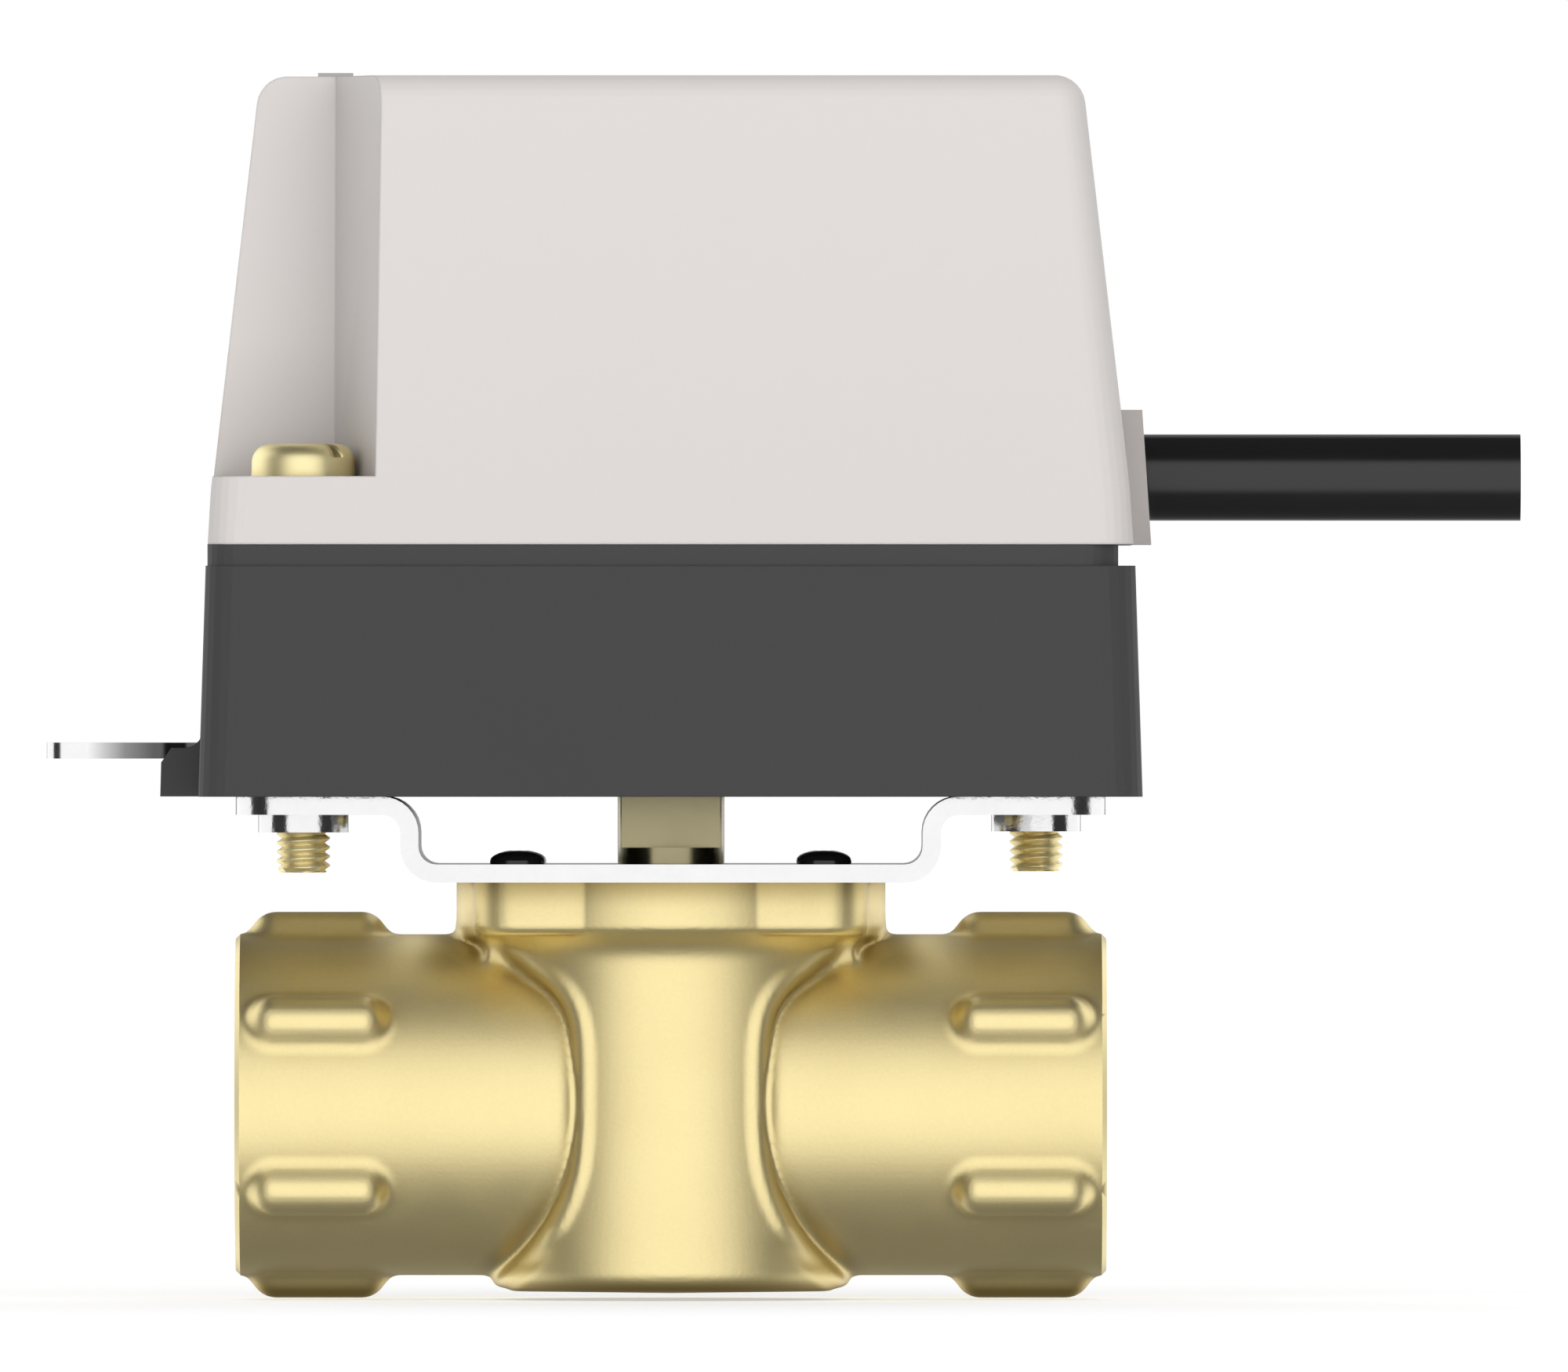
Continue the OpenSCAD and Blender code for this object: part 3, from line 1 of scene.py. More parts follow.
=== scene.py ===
"""Looks of the motorized zone valve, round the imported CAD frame. Metres, +Z up, front is -Y."""
import json
import math

import bmesh
import bpy
import numpy as np
from mathutils import Matrix, Vector


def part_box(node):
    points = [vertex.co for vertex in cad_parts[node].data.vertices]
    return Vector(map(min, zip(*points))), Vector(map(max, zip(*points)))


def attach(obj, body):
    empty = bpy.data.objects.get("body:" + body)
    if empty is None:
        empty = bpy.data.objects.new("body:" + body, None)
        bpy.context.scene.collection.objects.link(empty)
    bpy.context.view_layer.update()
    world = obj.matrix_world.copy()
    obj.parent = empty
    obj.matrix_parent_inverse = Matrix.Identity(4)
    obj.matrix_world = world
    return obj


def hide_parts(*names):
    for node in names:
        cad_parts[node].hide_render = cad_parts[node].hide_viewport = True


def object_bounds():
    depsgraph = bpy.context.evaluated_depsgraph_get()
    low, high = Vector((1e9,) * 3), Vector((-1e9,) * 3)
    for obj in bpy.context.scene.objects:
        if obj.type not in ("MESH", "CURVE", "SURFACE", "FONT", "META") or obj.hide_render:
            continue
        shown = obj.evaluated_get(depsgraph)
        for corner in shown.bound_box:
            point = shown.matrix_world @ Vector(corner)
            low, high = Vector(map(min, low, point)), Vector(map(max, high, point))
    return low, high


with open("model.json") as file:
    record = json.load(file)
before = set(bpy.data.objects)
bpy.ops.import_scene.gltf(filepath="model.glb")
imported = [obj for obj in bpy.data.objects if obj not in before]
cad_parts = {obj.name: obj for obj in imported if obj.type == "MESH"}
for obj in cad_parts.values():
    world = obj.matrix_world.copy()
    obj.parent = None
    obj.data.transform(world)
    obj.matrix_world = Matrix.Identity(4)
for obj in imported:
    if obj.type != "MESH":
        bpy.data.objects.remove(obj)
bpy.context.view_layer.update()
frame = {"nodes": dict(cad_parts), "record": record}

scene = bpy.context.scene
scene.view_settings.view_transform = "Standard"
nodes = frame["nodes"]
MM = 0.001

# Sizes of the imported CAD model, in mm
BODY_LENGTH = 96.8
STEM_AT = BODY_LENGTH / 2  # the stem's axis, from the inlet's end face
PIPE_R = 18.96
PORT_R = 15.15  # minor radius of the G1 thread
PAD_TOP = 24.8
LONG_SCREWS = ((7.7, -24.0), (89.1, 24.0))
POCKET_FLOOR, COVER_TOP = 68.8, 114.26
STEM_X = STEM_AT * MM


# Camera: level, square on to the front, far enough away to look almost without perspective

def make_camera():
    lens, sensor = 1400.0, 36.0
    width = 173.9 * MM  # what the frame takes in at front_y
    middle_x, front_y, middle_z = 60.97 * MM, -20 * MM, 46.57 * MM
    data = bpy.data.cameras.new("camera")
    data.lens = lens
    data.sensor_width = sensor
    camera = bpy.data.objects.new("camera", data)
    scene.collection.objects.link(camera)
    camera.location = (middle_x, front_y - width * lens / sensor, middle_z)
    camera.rotation_euler = (math.radians(90), 0, 0)
    scene.camera = camera


# Node helpers

class Tree:
    """A small wrapper that adds shader nodes and links them."""

    def __init__(self, tree, clear=True):
        self.tree = tree
        if clear:
            tree.nodes.clear()

    def add(self, kind, inputs=None, **props):
        node = self.tree.nodes.new(kind)
        for name, value in props.items():
            setattr(node, name, value)
        for name, value in (inputs or {}).items():
            if isinstance(value, bpy.types.NodeSocket):
                self.tree.links.new(value, node.inputs[name])
            else:
                node.inputs[name].default_value = value
        return node

    def math(self, operation, a, b=0.0, clamp=False):
        node = self.add("ShaderNodeMath", {0: a, 1: b}, operation=operation, use_clamp=clamp)
        return node.outputs[0]

    def ramp(self, value, stops, smooth=True):
        node = self.add("ShaderNodeValToRGB", {"Fac": value})
        node.color_ramp.interpolation = "EASE" if smooth else "LINEAR"
        for i, (at, colour) in enumerate(stops):
            stops_made = node.color_ramp.elements
            stop = stops_made[i] if i < 2 else stops_made.new(at)
            stop.position = at
            stop.color = (colour, colour, colour, 1)
        return node.outputs["Color"]

    def noise(self, vector, size, detail=2.0, rough=0.5):
        """Noise whose features are about size metres across."""
        node = self.add("ShaderNodeTexNoise", {"Vector": vector, "Scale": 0.6 / size,
                                               "Detail": detail, "Roughness": rough})
        return node.outputs["Fac"]

    def mix(self, factor, a, b):
        node = self.add("ShaderNodeMix", data_type="RGBA")
        for name, value in ((0, factor), (6, a), (7, b)):
            if isinstance(value, bpy.types.NodeSocket):
                self.tree.links.new(value, node.inputs[name])
            else:
                node.inputs[name].default_value = value if name == 0 else (*value[:3], 1)
        return node.outputs[2]


# World: plain white to the camera. Gloss sees a soft box in front, a dark surround beside and
# above it, and the white backdrop behind.

def make_world():
    world = bpy.data.worlds.new("studio")
    scene.world = world
    world.use_nodes = True
    t = Tree(world.node_tree)
    direction = t.add("ShaderNodeTexCoord").outputs["Generated"]
    axes = t.add("ShaderNodeSeparateXYZ", {"Vector": direction})
    flat = t.math("SQRT", t.math("ADD", t.math("MULTIPLY", axes.outputs["X"], axes.outputs["X"]),
                                 t.math("MULTIPLY", axes.outputs["Y"], axes.outputs["Y"])))
    # Angle from the front round the vertical axis, 0 to 1 for 0 to 180 degrees
    ahead = t.math("DIVIDE", t.math("MULTIPLY", axes.outputs["Y"], -1.0),
                   t.math("MAXIMUM", flat, 1e-4))
    around = t.math("DIVIDE", t.math("ARCCOSINE", ahead), math.pi)
    # Angle above the horizon, 0 to 1 for -90 to 90 degrees
    height = t.math("ADD", t.math("DIVIDE", t.math("ARCTAN2", axes.outputs["Z"], flat), math.pi),
                    0.5)

    def by_degrees(angle, *stops):
        return t.ramp(angle, [(at / 180, level) for at, level in stops], smooth=False)

    white, dark = 1.3, 0.03
    band = by_degrees(around, (0, white), (40, white), (46, dark), (84, dark), (90, white),
                      (156, white), (165, 0.35))
    box = by_degrees(height, (0, 0.16), (45, 0.2), (61, 1.0), (128, 1.0), (140, 0.06))
    seen = t.math("MULTIPLY", band, box)
    sky = by_degrees(height, (0, 0.18), (58, 0.2), (80, 0.05), (130, 0.0), (160, 0.08))
    gloss = t.math("MAXIMUM", seen, sky)
    path = t.add("ShaderNodeLightPath")
    glossy = t.math("MAXIMUM", path.outputs["Is Glossy Ray"], path.outputs["Is Transmission Ray"])
    # Matt surfaces get more light from the front and the back than from the sides and above
    matt_all_round, matt_ahead = 0.2, 2.15
    facing = t.math("MULTIPLY", axes.outputs["Y"], axes.outputs["Y"])
    matt = t.math("ADD", matt_all_round, t.math("MULTIPLY", facing, matt_ahead))
    not_camera = t.math("SUBTRACT", 1.0, path.outputs["Is Camera Ray"])
    matt = t.math("MULTIPLY", t.math("SUBTRACT", not_camera, glossy), matt)
    strength = t.math("ADD", t.math("MULTIPLY", gloss, glossy),
                      t.math("ADD", matt, path.outputs["Is Camera Ray"]))
    background = t.add("ShaderNodeBackground", {"Color": (1, 1, 1, 1), "Strength": strength})
    t.add("ShaderNodeOutputWorld", {"Surface": background.outputs[0]})


def make_stage():
    """A round pale floor under the valve, white to the camera where no shadow falls."""
    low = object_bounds()[0][2] - 0.2 * MM
    radius, steps = 0.9, 96
    corners = [(STEM_X + radius * math.cos(2 * math.pi * i / steps),
                radius * math.sin(2 * math.pi * i / steps), low) for i in range(steps)]
    floor = new_object("floor", corners, [tuple(range(steps))])
    material = bpy.data.materials.new("floor_white")
    material.use_nodes = True
    t = Tree(material.node_tree)
    glow_strength = 0.45  # enough to bring the lit floor up to white
    seen = t.add("ShaderNodeLightPath").outputs["Is Camera Ray"]
    matt = t.add("ShaderNodeBsdfDiffuse", {"Color": (0.8, 0.8, 0.8, 1)})
    glow = t.add("ShaderNodeEmission", {"Color": (1, 1, 1, 1),
                                        "Strength": t.math("MULTIPLY", seen, glow_strength)})
    both = t.add("ShaderNodeAddShader", {0: matt.outputs[0], 1: glow.outputs[0]})
    t.add("ShaderNodeOutputMaterial", {"Surface": both.outputs[0]})
    floor.data.materials.append(material)
    floor.visible_glossy = False  # gloss sees the studio's own lower half


# Materials. Every one has its own grain, from noise in object space.

def material(name, colour, rough=0.5, metal=0.0, grain=0.25, grain_amount=0.04, bump=0.02,
             blotch=6.0, blotch_amount=0.05, rough_amount=0.06, specular=0.5, coat=0.0, worn=0.0,
             stretch=None, shade_depth=0.0, shade_reach=16.0, shade_to=(0.0, 0.0, 0.0), edge=0.0):
    """grain and blotch are feature sizes in mm, bump a depth and edge a radius in mm, and the
    amounts shares of the value. The edge lightening makes convex edges and crests lighter. The
    painted-shade settings paint shade into the colour: places that stand within their reach in mm
    of another surface, in creases, recesses and pockets, are taken towards their shade colour."""
    m = bpy.data.materials.new(name)
    m.use_nodes = True
    t = Tree(m.node_tree)
    place = t.add("ShaderNodeTexCoord").outputs["Object"]
    fine_place = place
    if stretch:
        fine_place = t.add("ShaderNodeMapping", {"Vector": place, "Scale": stretch}).outputs[0]
    fine = t.noise(fine_place, grain * MM, 3.0, 0.6)
    broad = t.noise(place, blotch * MM, 2.0)
    shift = t.math("ADD", t.math("MULTIPLY", t.math("SUBTRACT", fine, 0.5), 2 * grain_amount),
                   t.math("MULTIPLY", t.math("SUBTRACT", broad, 0.5), 2 * blotch_amount))
    tone = t.add("ShaderNodeVectorMath", {0: colour[:3]}, operation="SCALE")
    t.tree.links.new(t.math("ADD", 1.0, shift), tone.inputs["Scale"])
    shade = tone.outputs[0]
    if worn:
        # Convex edges and crests are made lighter, by how pointed the surface is there
        crest = t.add("ShaderNodeNewGeometry").outputs["Pointiness"]
        rub = t.ramp(crest, [(0.5, 0.0), (0.58, 1.0)])
        rubbed = [min(1.0, c * 1.35 + 0.02) for c in colour]
        shade = t.mix(t.math("MULTIPLY", rub, worn), shade, rubbed)
    if shade_depth:
        # Painted shade: ambient occlusion darkens creases, recesses and pockets towards the shade
        # colour
        near = t.add("ShaderNodeAmbientOcclusion", {"Distance": shade_reach * MM}, samples=6)
        hidden = t.math("MULTIPLY", t.math("SUBTRACT", 1.0, near.outputs["AO"]), shade_depth,
                        clamp=True)
        shade = t.mix(hidden, shade, shade_to)
    height = t.math("ADD", fine, t.math("MULTIPLY", broad, 0.3))
    bumped = t.add("ShaderNodeBump", {"Height": height, "Strength": 1.0, "Distance": bump * MM})
    if edge:
        # Moulded edges are a little round, so that they catch the light
        rounded = t.add("ShaderNodeBevel", {"Radius": edge * MM}, samples=4)
        t.tree.links.new(rounded.outputs[0], bumped.inputs["Normal"])
    uneven = t.math("MULTIPLY", t.math("SUBTRACT", broad, 0.5), 2 * rough_amount)
    uneven = t.math("ADD", rough, uneven)
    shader = t.add("ShaderNodeBsdfPrincipled", {
        "Base Color": shade, "Metallic": metal, "Roughness": uneven, "Normal": bumped.outputs[0],
        "Specular IOR Level": specular, "Coat Weight": coat, "Coat Roughness": 0.1})
    t.add("ShaderNodeOutputMaterial", {"Surface": shader.outputs[0]})
    return m


def make_materials():
    """The materials, by the record's slots. The cores have their own."""
    made = {}

    def add(slot, *values, name=None, **more):
        made[slot] = material(name or slot, *values, **more)

    # Forged brass, with painted shade: creases and fillets within 3 mm of another surface are taken
    # towards dark gold
    add("brass", (0.9, 0.765, 0.4), 0.46, 1.0, name="brass_forged", grain=0.22, grain_amount=0.05,
        bump=0.012, blotch=5, blotch_amount=0.03, worn=0.15, shade_depth=1.5, shade_reach=3.0,
        shade_to=(0.44, 0.31, 0.09))
    add("brass_turned", (0.86, 0.745, 0.41), 0.4, 1.0, grain=0.15, grain_amount=0.05, bump=0.006,
        blotch=4, blotch_amount=0.03, stretch=(1, 1, 3))
    add("plated_ball", (0.78, 0.78, 0.8), 0.09, 1.0, grain=0.3, grain_amount=0.02, bump=0.001,
        blotch=8)
    add("ptfe", (0.88, 0.88, 0.86), 0.45, grain=0.2, bump=0.004)
    add("rubber", (0.022, 0.022, 0.022), 0.55, grain=0.12, bump=0.008)
    add("zinc_sheet", (0.71, 0.71, 0.71), 0.14, 1.0, grain=0.4, grain_amount=0.03, bump=0.03,
        blotch=2.4, blotch_amount=0.05, rough_amount=0.08)
    add("zinc_small", (0.7, 0.7, 0.7), 0.13, 1.0, grain=0.4, grain_amount=0.03, bump=0.03, blotch=2)
    add("black_screw", (0.035, 0.035, 0.038), 0.16, 0.7, grain=0.15, bump=0.003, specular=0.6)
    add("base_dark", (0.052, 0.052, 0.052), 0.62, grain=0.16, grain_amount=0.05, bump=0.006,
        blotch=12, blotch_amount=0.02, specular=0.35, worn=0.1, edge=0.25)
    # Pale cover, with painted shade: its pockets and recesses are darkened towards black
    add("cover_pale", (0.742, 0.706, 0.683), 0.58, grain=0.16, grain_amount=0.012, bump=0.005,
        blotch=18, blotch_amount=0.008, specular=0.3, shade_depth=0.5, edge=0.45)
    add("window_grey", (0.45, 0.44, 0.43), 0.22, grain=0.3, bump=0.001, coat=0.3)
    add("grommet_grey", (0.54, 0.51, 0.49), 0.6, grain=0.14, grain_amount=0.03, bump=0.006,
        blotch=4, specular=0.3)
    add("cable_black", (0.009, 0.009, 0.009), 0.2, grain=0.12, grain_amount=0.06, bump=0.003,
        blotch=5, blotch_amount=0.04)
    add("inner_dark", (0.06, 0.06, 0.064), 0.5, grain=0.15, bump=0.006)
    add("inner_pale", (0.76, 0.75, 0.7), 0.48, grain=0.15, bump=0.005)
    add("cam_red", (0.55, 0.06, 0.045), 0.45, grain=0.15, bump=0.005)
    add("cam_green", (0.045, 0.3, 0.13), 0.45, grain=0.15, bump=0.005)
    add("motor_steel", (0.64, 0.65, 0.66), 0.3, 1.0, grain=0.15, grain_amount=0.06, bump=0.004,
        blotch=3, stretch=(1, 1, 8))
    add("lead_blue", (0.045, 0.12, 0.42), 0.35, grain=0.1, bump=0.003)
    add("capacitor_ochre", (0.58, 0.38, 0.1), 0.3, grain=0.2, bump=0.008, coat=0.4)
    return made


def make_lever_steel():
    """Plated steel, with painted shade and reflection of the base: plain at the tip, near black at
    the base.
    """
    m = material("lever_steel", (0.73, 0.73, 0.73), 0.2, 1.0, grain=0.2, bump=0.003, blotch=2)
    t = Tree(m.node_tree, clear=False)
    shader = next(n for n in m.node_tree.nodes if n.type == "BSDF_PRINCIPLED")
    plain = shader.inputs["Base Color"].links[0].from_socket
    place = t.add("ShaderNodeTexCoord").outputs["Object"]
    x = t.add("ShaderNodeSeparateXYZ", {"Vector": place}).outputs["X"]
    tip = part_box("manual_lever")[0][0]
    out_of_base = 14 * MM  # how far the lever stands out
    reach = t.math("DIVIDE", t.math("SUBTRACT", x, tip), out_of_base)
    # Painted shade and painted reflection: the colour goes to near black towards the base
    dark = t.ramp(reach, [(0.33, 0.0), (0.46, 0.38), (0.62, 0.74), (0.85, 0.92)], smooth=False)
    m.node_tree.links.new(t.mix(dark, plain, (0.035, 0.035, 0.036)), shader.inputs["Base Color"])
    return m


def dress(materials):
    """Every CAD node gets the material of its slot in the record."""
    for part in frame["record"]["subparts"]:
        slot = part["material_slot"]
        obj = nodes[part["node"]]
        if slot in materials:
            for i in range(len(obj.data.materials)):
                obj.data.materials[i] = materials[slot]


# Forged body: one smooth skin from distance fields, so that every foot and ledge has its fillet

def smooth_union(a, b, k):
    h = np.clip(0.5 + 0.5 * (b - a) / k, 0, 1)
    return b + (a - b) * h - k * h * (1 - h)


def smooth_cut(a, b, k):
    """Where both fields are inside, with a round edge of about k."""
    return -smooth_union(-a, -b, k)


def round_box(u, v, half_u, half_v, r):
    """Distance to a box in u, v with corners of radius r."""
    a, b = np.abs(u) - (half_u - r), np.abs(v) - (half_v - r)
    return np.hypot(np.maximum(a, 0), np.maximum(b, 0)) + np.minimum(np.maximum(a, b), 0) - r


def forging_field(x, y, z):
    """Distance to the forging's skin in mm, from the stem axis, with no bore in it."""
    across = np.hypot(y, z)
    pipe = across - PIPE_R
    # Six ribs at each end, folded on to the one at the top
    turn = np.arctan2(y, z)
    turn = turn - np.round(turn / (math.pi / 3)) * (math.pi / 3)
    along = np.clip(np.abs(x), STEM_AT - 14.0, STEM_AT - 4.5) - np.abs(x)
    rib = np.sqrt(along ** 2 + (across * np.sin(turn)) ** 2
                  + (across * np.cos(turn) - 18.62) ** 2) - 2.84
    body = smooth_union(pipe, rib, 1.5)
    # The pipes slope gently down towards the barrel, so that a groove runs beside it
    slope_in = (across - PIPE_R + 0.55 * (12.0 - np.abs(x))) / 1.141
    body = smooth_cut(body, slope_in, 0.4)
    # Barrel: an upright column cut to a waist, round at its foot and flared under the pad
    out = np.hypot(x, y)
    flare = 4.0 - np.sqrt(4.0 ** 2 - np.clip(z - 15.3, 0, 3.4) ** 2)
    barrel_r = 21.0
    foot = round_box(out - 0.7 * np.clip(-z / 16, 0, 1) - flare,
                     z + 0.66 - 0.3 * np.clip(out / 20, 0, 1), barrel_r, 20.3, 2.4)
    foot = np.where(z > 10, out - barrel_r - flare, foot)
    height = np.abs(z)
    waist = 9.7 + np.where(z > 0, 10.6 * (height / 17.8) ** 5, 9.8 * (height / 20.96) ** 2.7)
    slope = np.where(z > 0, 10.6 * 5 / 17.8 * (np.minimum(height, 15) / 17.8) ** 4,
                     9.8 * 2.7 / 20.96 * (np.minimum(height, 18) / 20.96) ** 1.7)
    side = (np.abs(x) - waist) / np.sqrt(1 + slope ** 2)
    # A low bead along the waist's edge
    sunk = 0.8 + 0.9 * np.clip((-13.5 - z) / 4, 0, 1)
    bead = np.sqrt((side - 0.1) ** 2 + (foot + sunk) ** 2) - 1.2
    barrel = np.maximum(smooth_union(smooth_cut(foot, side, 1.6), bead, 0.7), z - 24)
    # Neck under the pad, then the pad: round and square together
    root = 1.6 - np.sqrt(1.6 ** 2 - np.clip(z - 17.2, 0, 1.5) ** 2)
    neck = np.maximum(round_box(x, y, 20.6, 11.0, 0.8) - root, np.maximum(z - 24, 8 - z))
    from_top = z - PAD_TOP
    round_pad = round_box(out, from_top, 23.83, 5.9, 1.3)
    square = round_box(x, y, 21.74, 21.74, 4.7)
    edge, face = square + 1.3, np.abs(from_top) - 4.6
    square_pad = (np.hypot(np.maximum(edge, 0), np.maximum(face, 0))
                  + np.minimum(np.maximum(edge, face), 0) - 1.3)
    fillet = 0.9 + 0.9 * np.clip((height - 10) / 4, 0, 1)
    body = smooth_union(smooth_union(body, barrel, fillet), neck, 1.3)
    pad = np.minimum(round_pad, square_pad)
    # Less fillet in front, where the flare already meets the pad
    return smooth_union(body, pad, 0.4 + 0.8 * np.clip((np.abs(x) - 20.5) / 1.5, 0, 1))


def skin_mesh(name, field, low, high, step):
    """The closed surface of a field, as quads, through an OpenVDB level set."""
    import openvdb
    low, high = np.array(low, float), np.array(high, float)
    count = np.ceil((high - low) / step).astype(int) + 1
    axes = [low[i] + step * np.arange(count[i]) for i in range(3)]
    values = field(*np.meshgrid(*axes, indexing="ij", sparse=True)).astype(np.float32)
    grid = openvdb.FloatGrid(4.0)
    grid.copyFromArray(np.clip(values, -4, 4))
    points, _, quads = grid.convertToPolygons(isovalue=0.0, adaptivity=0.0)
    points = (points * step + low) * MM
    return new_object(name, points.tolist(), quads.tolist())


# Mesh helpers

def new_object(name, verts, faces):
    mesh = bpy.data.meshes.new(name)
    mesh.from_pydata([tuple(v) for v in verts], [], faces)
    mesh.update()
    obj = bpy.data.objects.new(name, mesh)
    scene.collection.objects.link(obj)
    return obj


def revolve(name, profile, axis, origin, steps=96):
    """A closed solid turned from (along, radius) pairs in mm; the first and last radius are 0."""
    inner = [p for p in profile if p[1] > 0]
    verts, faces = [], []
    for i in range(steps):
        a = 2 * math.pi * i / steps
        for along, r in inner:
            local = {"X": (along, r * math.sin(a), r * math.cos(a)),
                     "Z": (r * math.cos(a), r * math.sin(a), along)}[axis]
            verts.append([(origin[k] + local[k]) * MM for k in range(3)])
    n = len(inner)
    for i in range(steps):
        j = (i + 1) % steps
        for k in range(n - 1):
            faces.append((i * n + k, i * n + k + 1, j * n + k + 1, j * n + k))
    for end, k in ((profile[0], 0), (profile[-1], n - 1)):
        local = (end[0], 0, 0) if axis == "X" else (0, 0, end[0])
        verts.append([(origin[m] + local[m]) * MM for m in range(3)])
        for i in range(steps):
            faces.append((i * n + k, ((i + 1) % steps) * n + k, len(verts) - 1))
    obj = new_object(name, verts, faces)
    turn_normals_out(obj)
    return obj


def turn_normals_out(obj):
    bm = bmesh.new()
    bm.from_mesh(obj.data)
    bmesh.ops.recalc_face_normals(bm, faces=bm.faces)
    bm.to_mesh(obj.data)
    bm.free()
    obj.data.update()


def helix(name, axis, origin, start, length, pitch, base_r, tip_r, base_half, tip_half,
          per_turn=48):
    """A closed ridge that winds round an axis: the cutter for a thread's groove, in mm. The
    halves are half its width at base_r and at tip_r."""
    steps = max(8, int(per_turn * length / pitch))
    verts, faces = [], []
    for i in range(steps + 1):
        a = 2 * math.pi * i * length / pitch / steps
        at = start + length * i / steps
        for r, half in ((base_r, -base_half), (tip_r, -tip_half), (tip_r, tip_half),
                        (base_r, base_half)):
            local = {"X": (at + half, r * math.sin(a), -r * math.cos(a)),
                     "Z": (r * math.cos(a), r * math.sin(a), at + half)}[axis]
            verts.append([(origin[k] + local[k]) * MM for k in range(3)])
    for i in range(steps):
        for k in range(4):
            m = (k + 1) % 4
            faces.append((i * 4 + k, i * 4 + m, i * 4 + 4 + m, i * 4 + 4 + k))
    faces += [(0, 1, 2, 3), tuple(steps * 4 + k for k in range(4))]
    obj = new_object(name, verts, faces)
    turn_normals_out(obj)
    return obj


def boolean(obj, cutter, operation="DIFFERENCE"):
    """Applies one boolean to the mesh itself and removes the cutter."""
    mod = obj.modifiers.new("cut", "BOOLEAN")
    mod.operation = operation
    mod.solver = "MANIFOLD"
    mod.object = cutter
    apply_modifiers(obj)
    bpy.data.objects.remove(cutter)


def apply_modifiers(obj):
    bpy.context.view_layer.update()
    evaluated = obj.evaluated_get(bpy.context.evaluated_depsgraph_get())
    mesh = bpy.data.meshes.new_from_object(evaluated)
    obj.modifiers.clear()
    old = obj.data
    obj.data = mesh
    bpy.data.meshes.remove(old)


def smooth_by_angle(obj, degrees):
    obj.data.polygons.foreach_set("use_smooth", [True] * len(obj.data.polygons))
    obj.data.set_sharp_from_angle(angle=math.radians(degrees))


def box_mesh(name, low, high):
    x0, y0, z0 = (v * MM for v in low)
    x1, y1, z1 = (v * MM for v in high)
    verts = [(x, y, z) for x in (x0, x1) for y in (y0, y1) for z in (z0, z1)]
    faces = [(0, 1, 3, 2), (4, 6, 7, 5), (0, 4, 5, 1), (2, 3, 7, 6), (0, 2, 6, 4), (1, 5, 7, 3)]
    obj = new_object(name, verts, faces)
    turn_normals_out(obj)
    return obj


def node_copy(name, node):
    """A closed mesh with the shape of a CAD node, for a piece that replaces it."""
    obj = bpy.data.objects.new(name, nodes[node].data.copy())
    scene.collection.objects.link(obj)
    bm = bmesh.new()
    bm.from_mesh(obj.data)
    bmesh.ops.remove_doubles(bm, verts=bm.verts, dist=2e-6)
    bmesh.ops.dissolve_degenerate(bm, edges=bm.edges, dist=1e-7)
    bmesh.ops.recalc_face_normals(bm, faces=bm.faces)
    bm.to_mesh(obj.data)
    bm.free()
    obj.data.materials.clear()
    return obj


def finish_piece(obj, body, materials, replaced=()):
    obj.data.materials.clear()
    for m in materials:
        obj.data.materials.append(m)
    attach(obj, body)
    if replaced:
        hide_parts(*replaced)


def make_smooth_copies(mats):
    """CAD nodes with bent or turned faces, in the same shape, shaded smooth across their facets."""
    slots = {part["node"]: part["material_slot"] for part in frame["record"]["subparts"]}
    own = {"manual_lever": make_lever_steel()}
    for node, name, body in (
            ("bracket", "bracket_sheet", "valve"), ("clinch_nuts", "pressed_nuts", "valve"),
            ("cable_sheath", "cable_outer", "valve"), ("bracket_screws", "button_screws", "valve"),
            ("manual_lever", "hand_lever", "lever")):
        obj = node_copy(name, node)
        bm = bmesh.new()
        bm.from_mesh(obj.data)
        bmesh.ops.dissolve_limit(bm, angle_limit=math.radians(0.3), verts=bm.verts, edges=bm.edges)
        bm.to_mesh(obj.data)
        bm.free()
        smooth_by_angle(obj, 32)
        even = obj.modifiers.new("even", "WEIGHTED_NORMAL")
        even.mode = "FACE_AREA"
        even.weight = 90
        even.keep_sharp = True
        apply_modifiers(obj)
        finish_piece(obj, body, [own.get(node) or mats[slots[node]]], [node])


def make_cover(mats):
    """The cover, whose pockets open a little towards the top."""
    cover = node_copy("cover_moulding", "head_cover")
    wall_x, wall_lean, wall_y, wall_depth = -32.6, 4.7, -32.1, 20.1  # the side wall, from its front
    opening, less_behind = 1.35, 1.2
    for v in cover.data.vertices:
        x, y, z = v.co.x / MM - STEM_AT, v.co.y / MM, v.co.z / MM
        turn = -1 if y > 0 else 1  # the rear pocket is the front one turned half round
        x, y = x * turn, y * turn
        off_wall = abs(x - wall_x + wall_lean * (y - wall_y) / wall_depth)
        if z > POCKET_FLOOR and off_wall < 0.03 and -33 < y < -11.9:
            back = min(1.0, (y + 30) / 18) if y > -30 else 0.0
            rise = (z - POCKET_FLOOR) / (COVER_TOP - POCKET_FLOOR)
            v.co.x += turn * (opening - less_behind * back) * rise * MM
    cover.data.polygons.foreach_set("use_smooth", [False] * len(cover.data.polygons))
    finish_piece(cover, "valve", [mats["cover_pale"]], ["head_cover"])


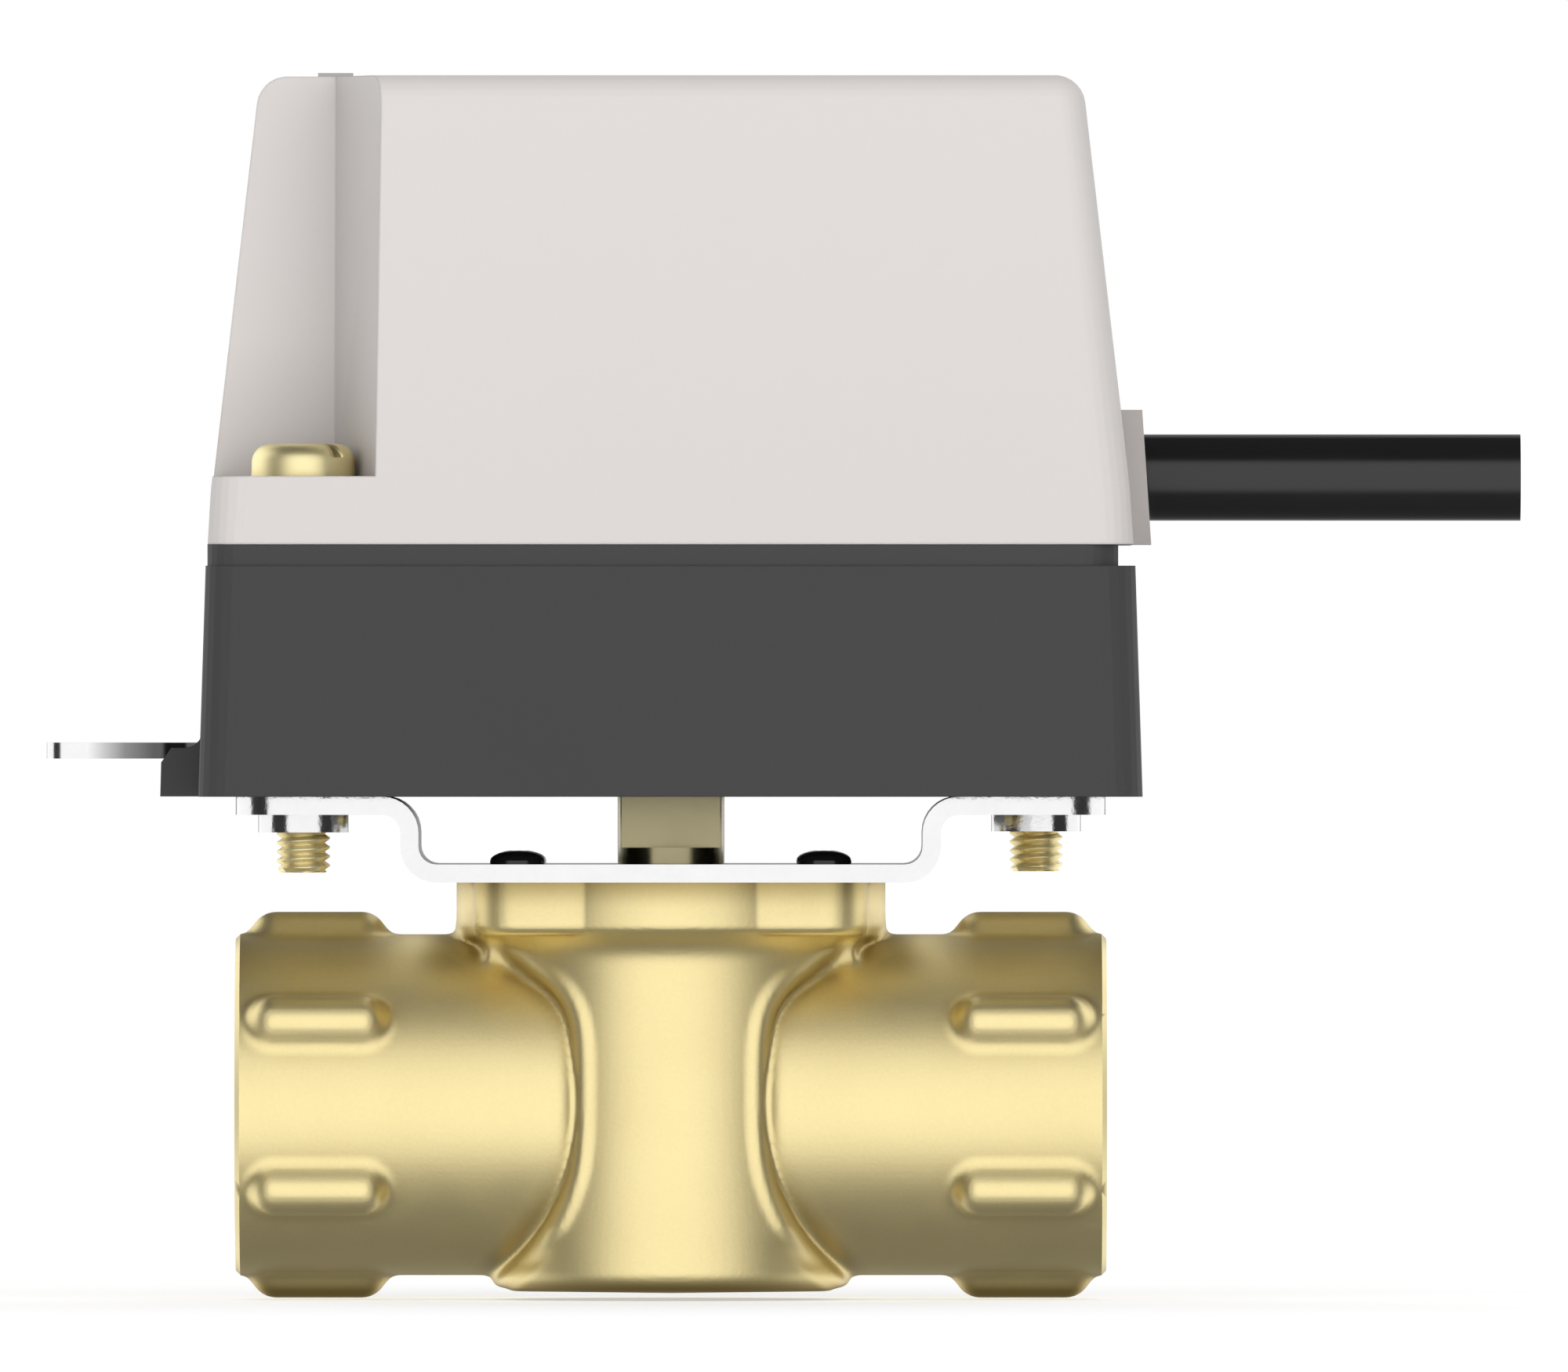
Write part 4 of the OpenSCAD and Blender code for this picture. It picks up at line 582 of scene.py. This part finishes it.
def make_body(mats):
    body = skin_mesh("forged_body", forging_field, (-51, -26, -24), (51, 26, 28), 0.34)
    body.data.transform(Matrix.Translation((STEM_X, 0, 0)))
    thin = body.modifiers.new("thin", "DECIMATE")
    thin.ratio = 0.4
    apply_modifiers(body)
    turn_normals_out(body)
    boolean(body, box_mesh("above_pad", (20, -30, PAD_TOP), (77, 30, 32)))
    # Each end: faced and chamfered
    for flip, x0 in ((1, 0), (-1, BODY_LENGTH)):
        boolean(body, revolve("facing", [(-flip * 4, 0), (-flip * 4, 30), (flip * 3.5, 30),
                                         (flip * 3.5, 21.96), (0, 18.46), (0, 0)], "X", (x0, 0, 0)))
    # Bores along the pipe, with a lead-in at each thread
    boolean(body, revolve("inlet_bore", [
        (-1, 0), (-1, 17.9), (1.75, PORT_R), (19, PORT_R), (20.2, 13.9), (20.2, 9.5),
        (STEM_AT, 9.5), (STEM_AT, 0)], "X", (0, 0, 0)))
    boolean(body, revolve("outlet_bore", [
        (34.2, 0), (34.2, 14.9), (77.8, 14.9), (77.8, PORT_R), (95.05, PORT_R), (97.8, 17.9),
        (97.8, 0)], "X", (0, 0, 0)))
    boolean(body, revolve("stem_bore", [
        (0, 0), (0, 7.9), (18.1, 7.9), (18.1, 5.985), (26, 5.985), (26, 0)], "Z",
        (STEM_AT, 0, 0), 64))
    # G1 threads: 2.309 mm pitch, cut to the major diameter
    for start in (-1.2, 80.0):
        boolean(body, helix("thread_cutter", "X", (0, 0, 0), start, length=18.0, pitch=2.309,
                            base_r=14.95, tip_r=16.6, base_half=1.02, tip_half=0.18, per_turn=64))
    smooth_by_angle(body, 38)
    finish_piece(body, "valve", [mats["brass"], mats["brass_turned"]], ["valve_body"])
    # Faced ends, bores and the pad's top are turned, the rest is as forged
    centre = np.empty(len(body.data.polygons) * 3)
    normal = np.empty(len(body.data.polygons) * 3)
    body.data.polygons.foreach_get("center", centre)
    body.data.polygons.foreach_get("normal", normal)
    centre, normal = centre.reshape(-1, 3) / MM, normal.reshape(-1, 3)
    at_end = np.minimum(centre[:, 0], BODY_LENGTH - centre[:, 0]) < 0.52
    bored = np.hypot(centre[:, 1], centre[:, 2]) < 17.0
    topped = (centre[:, 2] > PAD_TOP - 0.1) & (normal[:, 2] > 0.9)
    turned = (at_end & (np.abs(normal[:, 0]) > 0.5)) | bored | topped
    body.data.polygons.foreach_set("material_index", turned.astype(np.int32))


def make_long_screws():
    """The two long screws, with a real M6 thread where they come out below the bracket."""
    screws = node_copy("long_screws", "head_screws")
    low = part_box("head_screws")[0]
    for x, y in LONG_SCREWS:
        boolean(screws, helix("thread_cutter", "Z", (x, y, 0), low[2] / MM - 0.7, length=10.4,
                              pitch=1.0, base_r=3.04, tip_r=2.42, base_half=0.49, tip_half=0.05))
    smooth_by_angle(screws, 30)
    # Screw brass, with painted shade: the dips between the thread's crests are taken towards dark
    # gold
    soft = material("brass_screw", (0.96, 0.85, 0.48), 0.46, 1.0, grain=0.15, grain_amount=0.05,
                    bump=0.006, blotch=4, blotch_amount=0.03,
                    shade_depth=0.9, shade_reach=1.5, shade_to=(0.55, 0.38, 0.1))
    finish_piece(screws, "valve", [soft], ["head_screws"])


def islands(bm):
    """The faces of a mesh, in a list for each part that isn't joined to the others."""
    seen, found = set(), []
    for first in bm.faces:
        if first in seen:
            continue
        seen.add(first)
        stack, island = [first], []
        while stack:
            f = stack.pop()
            island.append(f)
            for e in f.edges:
                for g in e.link_faces:
                    if g not in seen:
                        seen.add(g)
                        stack.append(g)
        found.append(island)
    return found


def make_cores():
    """The five cores, each in its own colour, with stranded copper at the cut end."""
    cores = node_copy("core_wires", "cable_cores")
    colours = {"brown": (0.16, 0.05, 0.015), "black": (0.012, 0.012, 0.012),
               "grey": (0.3, 0.3, 0.31), "blue": (0.03, 0.12, 0.5), "green": (0.06, 0.32, 0.06)}
    made = [material("core_" + n, c, 0.35, grain=0.1, bump=0.003) for n, c in colours.items()]
    finish_piece(cores, "valve", made, ["cable_cores"])
    bm = bmesh.new()
    bm.from_mesh(cores.data)
    # The insulation is cut back a little, so that the copper ends stay inside the CAD box
    cut_back = 0.12 * MM
    reach = max(v.co.x for v in bm.verts)
    for v in bm.verts:
        if v.co.x > reach - 0.05 * MM:
            v.co.x -= cut_back
    ends = []
    for island in islands(bm):
        tip = max(v.co.x for f in island for v in f.verts)
        ring = [v.co for f in island for v in f.verts if tip - v.co.x < 0.02 * MM]
        middle = sum(ring, Vector()) / len(ring)
        middle.x = tip
        ends.append((middle, island))
    axis = sum((m for m, _ in ends), Vector()) / len(ends)
    ends.sort(key=lambda e: math.atan2(e[0].z - axis.z, e[0].y - axis.y))
    for i, (_, island) in enumerate(ends):
        for f in island:
            f.material_index = i % len(made)
    bm.to_mesh(cores.data)
    bm.free()
    smooth_by_angle(cores, 35)
    copper = material("copper_strand", (0.78, 0.36, 0.2), 0.28, 1.0, grain=0.08, bump=0.003)
    # Seven strands a core: six in a ring round the middle one
    ring_r, foot_r, tip_r, length, proud = (v * MM for v in (0.33, 0.16, 0.15, 0.1, 0.03))
    strands = bmesh.new()
    for middle, _ in ends:
        for k in range(7):
            a, r = k * math.pi / 3, 0.0 if k == 6 else ring_r
            at = middle + Vector((proud, r * math.cos(a), r * math.sin(a)))
            turn = Matrix.Translation(at) @ Matrix.Rotation(math.pi / 2, 4, "Y")
            bmesh.ops.create_cone(strands, cap_ends=True, segments=12, radius1=foot_r,
                                  radius2=tip_r, depth=length, matrix=turn)
    mesh = bpy.data.meshes.new("copper_ends")
    strands.to_mesh(mesh)
    strands.free()
    obj = bpy.data.objects.new("copper_ends", mesh)
    scene.collection.objects.link(obj)
    smooth_by_angle(obj, 40)
    finish_piece(obj, "valve", [copper])


make_camera()
make_world()
make_stage()
shared = make_materials()
dress(shared)
# The stem is the same brass, made darker as painted shade for the slot between the bracket's plates
stem_brass = material("stem_brass", (0.32, 0.285, 0.17), 0.22, 1.0, grain=0.12, grain_amount=0.06,
                      bump=0.004, blotch=3, stretch=(1, 1, 3))
nodes["valve_stem"].data.materials[0] = stem_brass
make_smooth_copies(shared)
make_cover(shared)
make_body(shared)
make_long_screws()
make_cores()
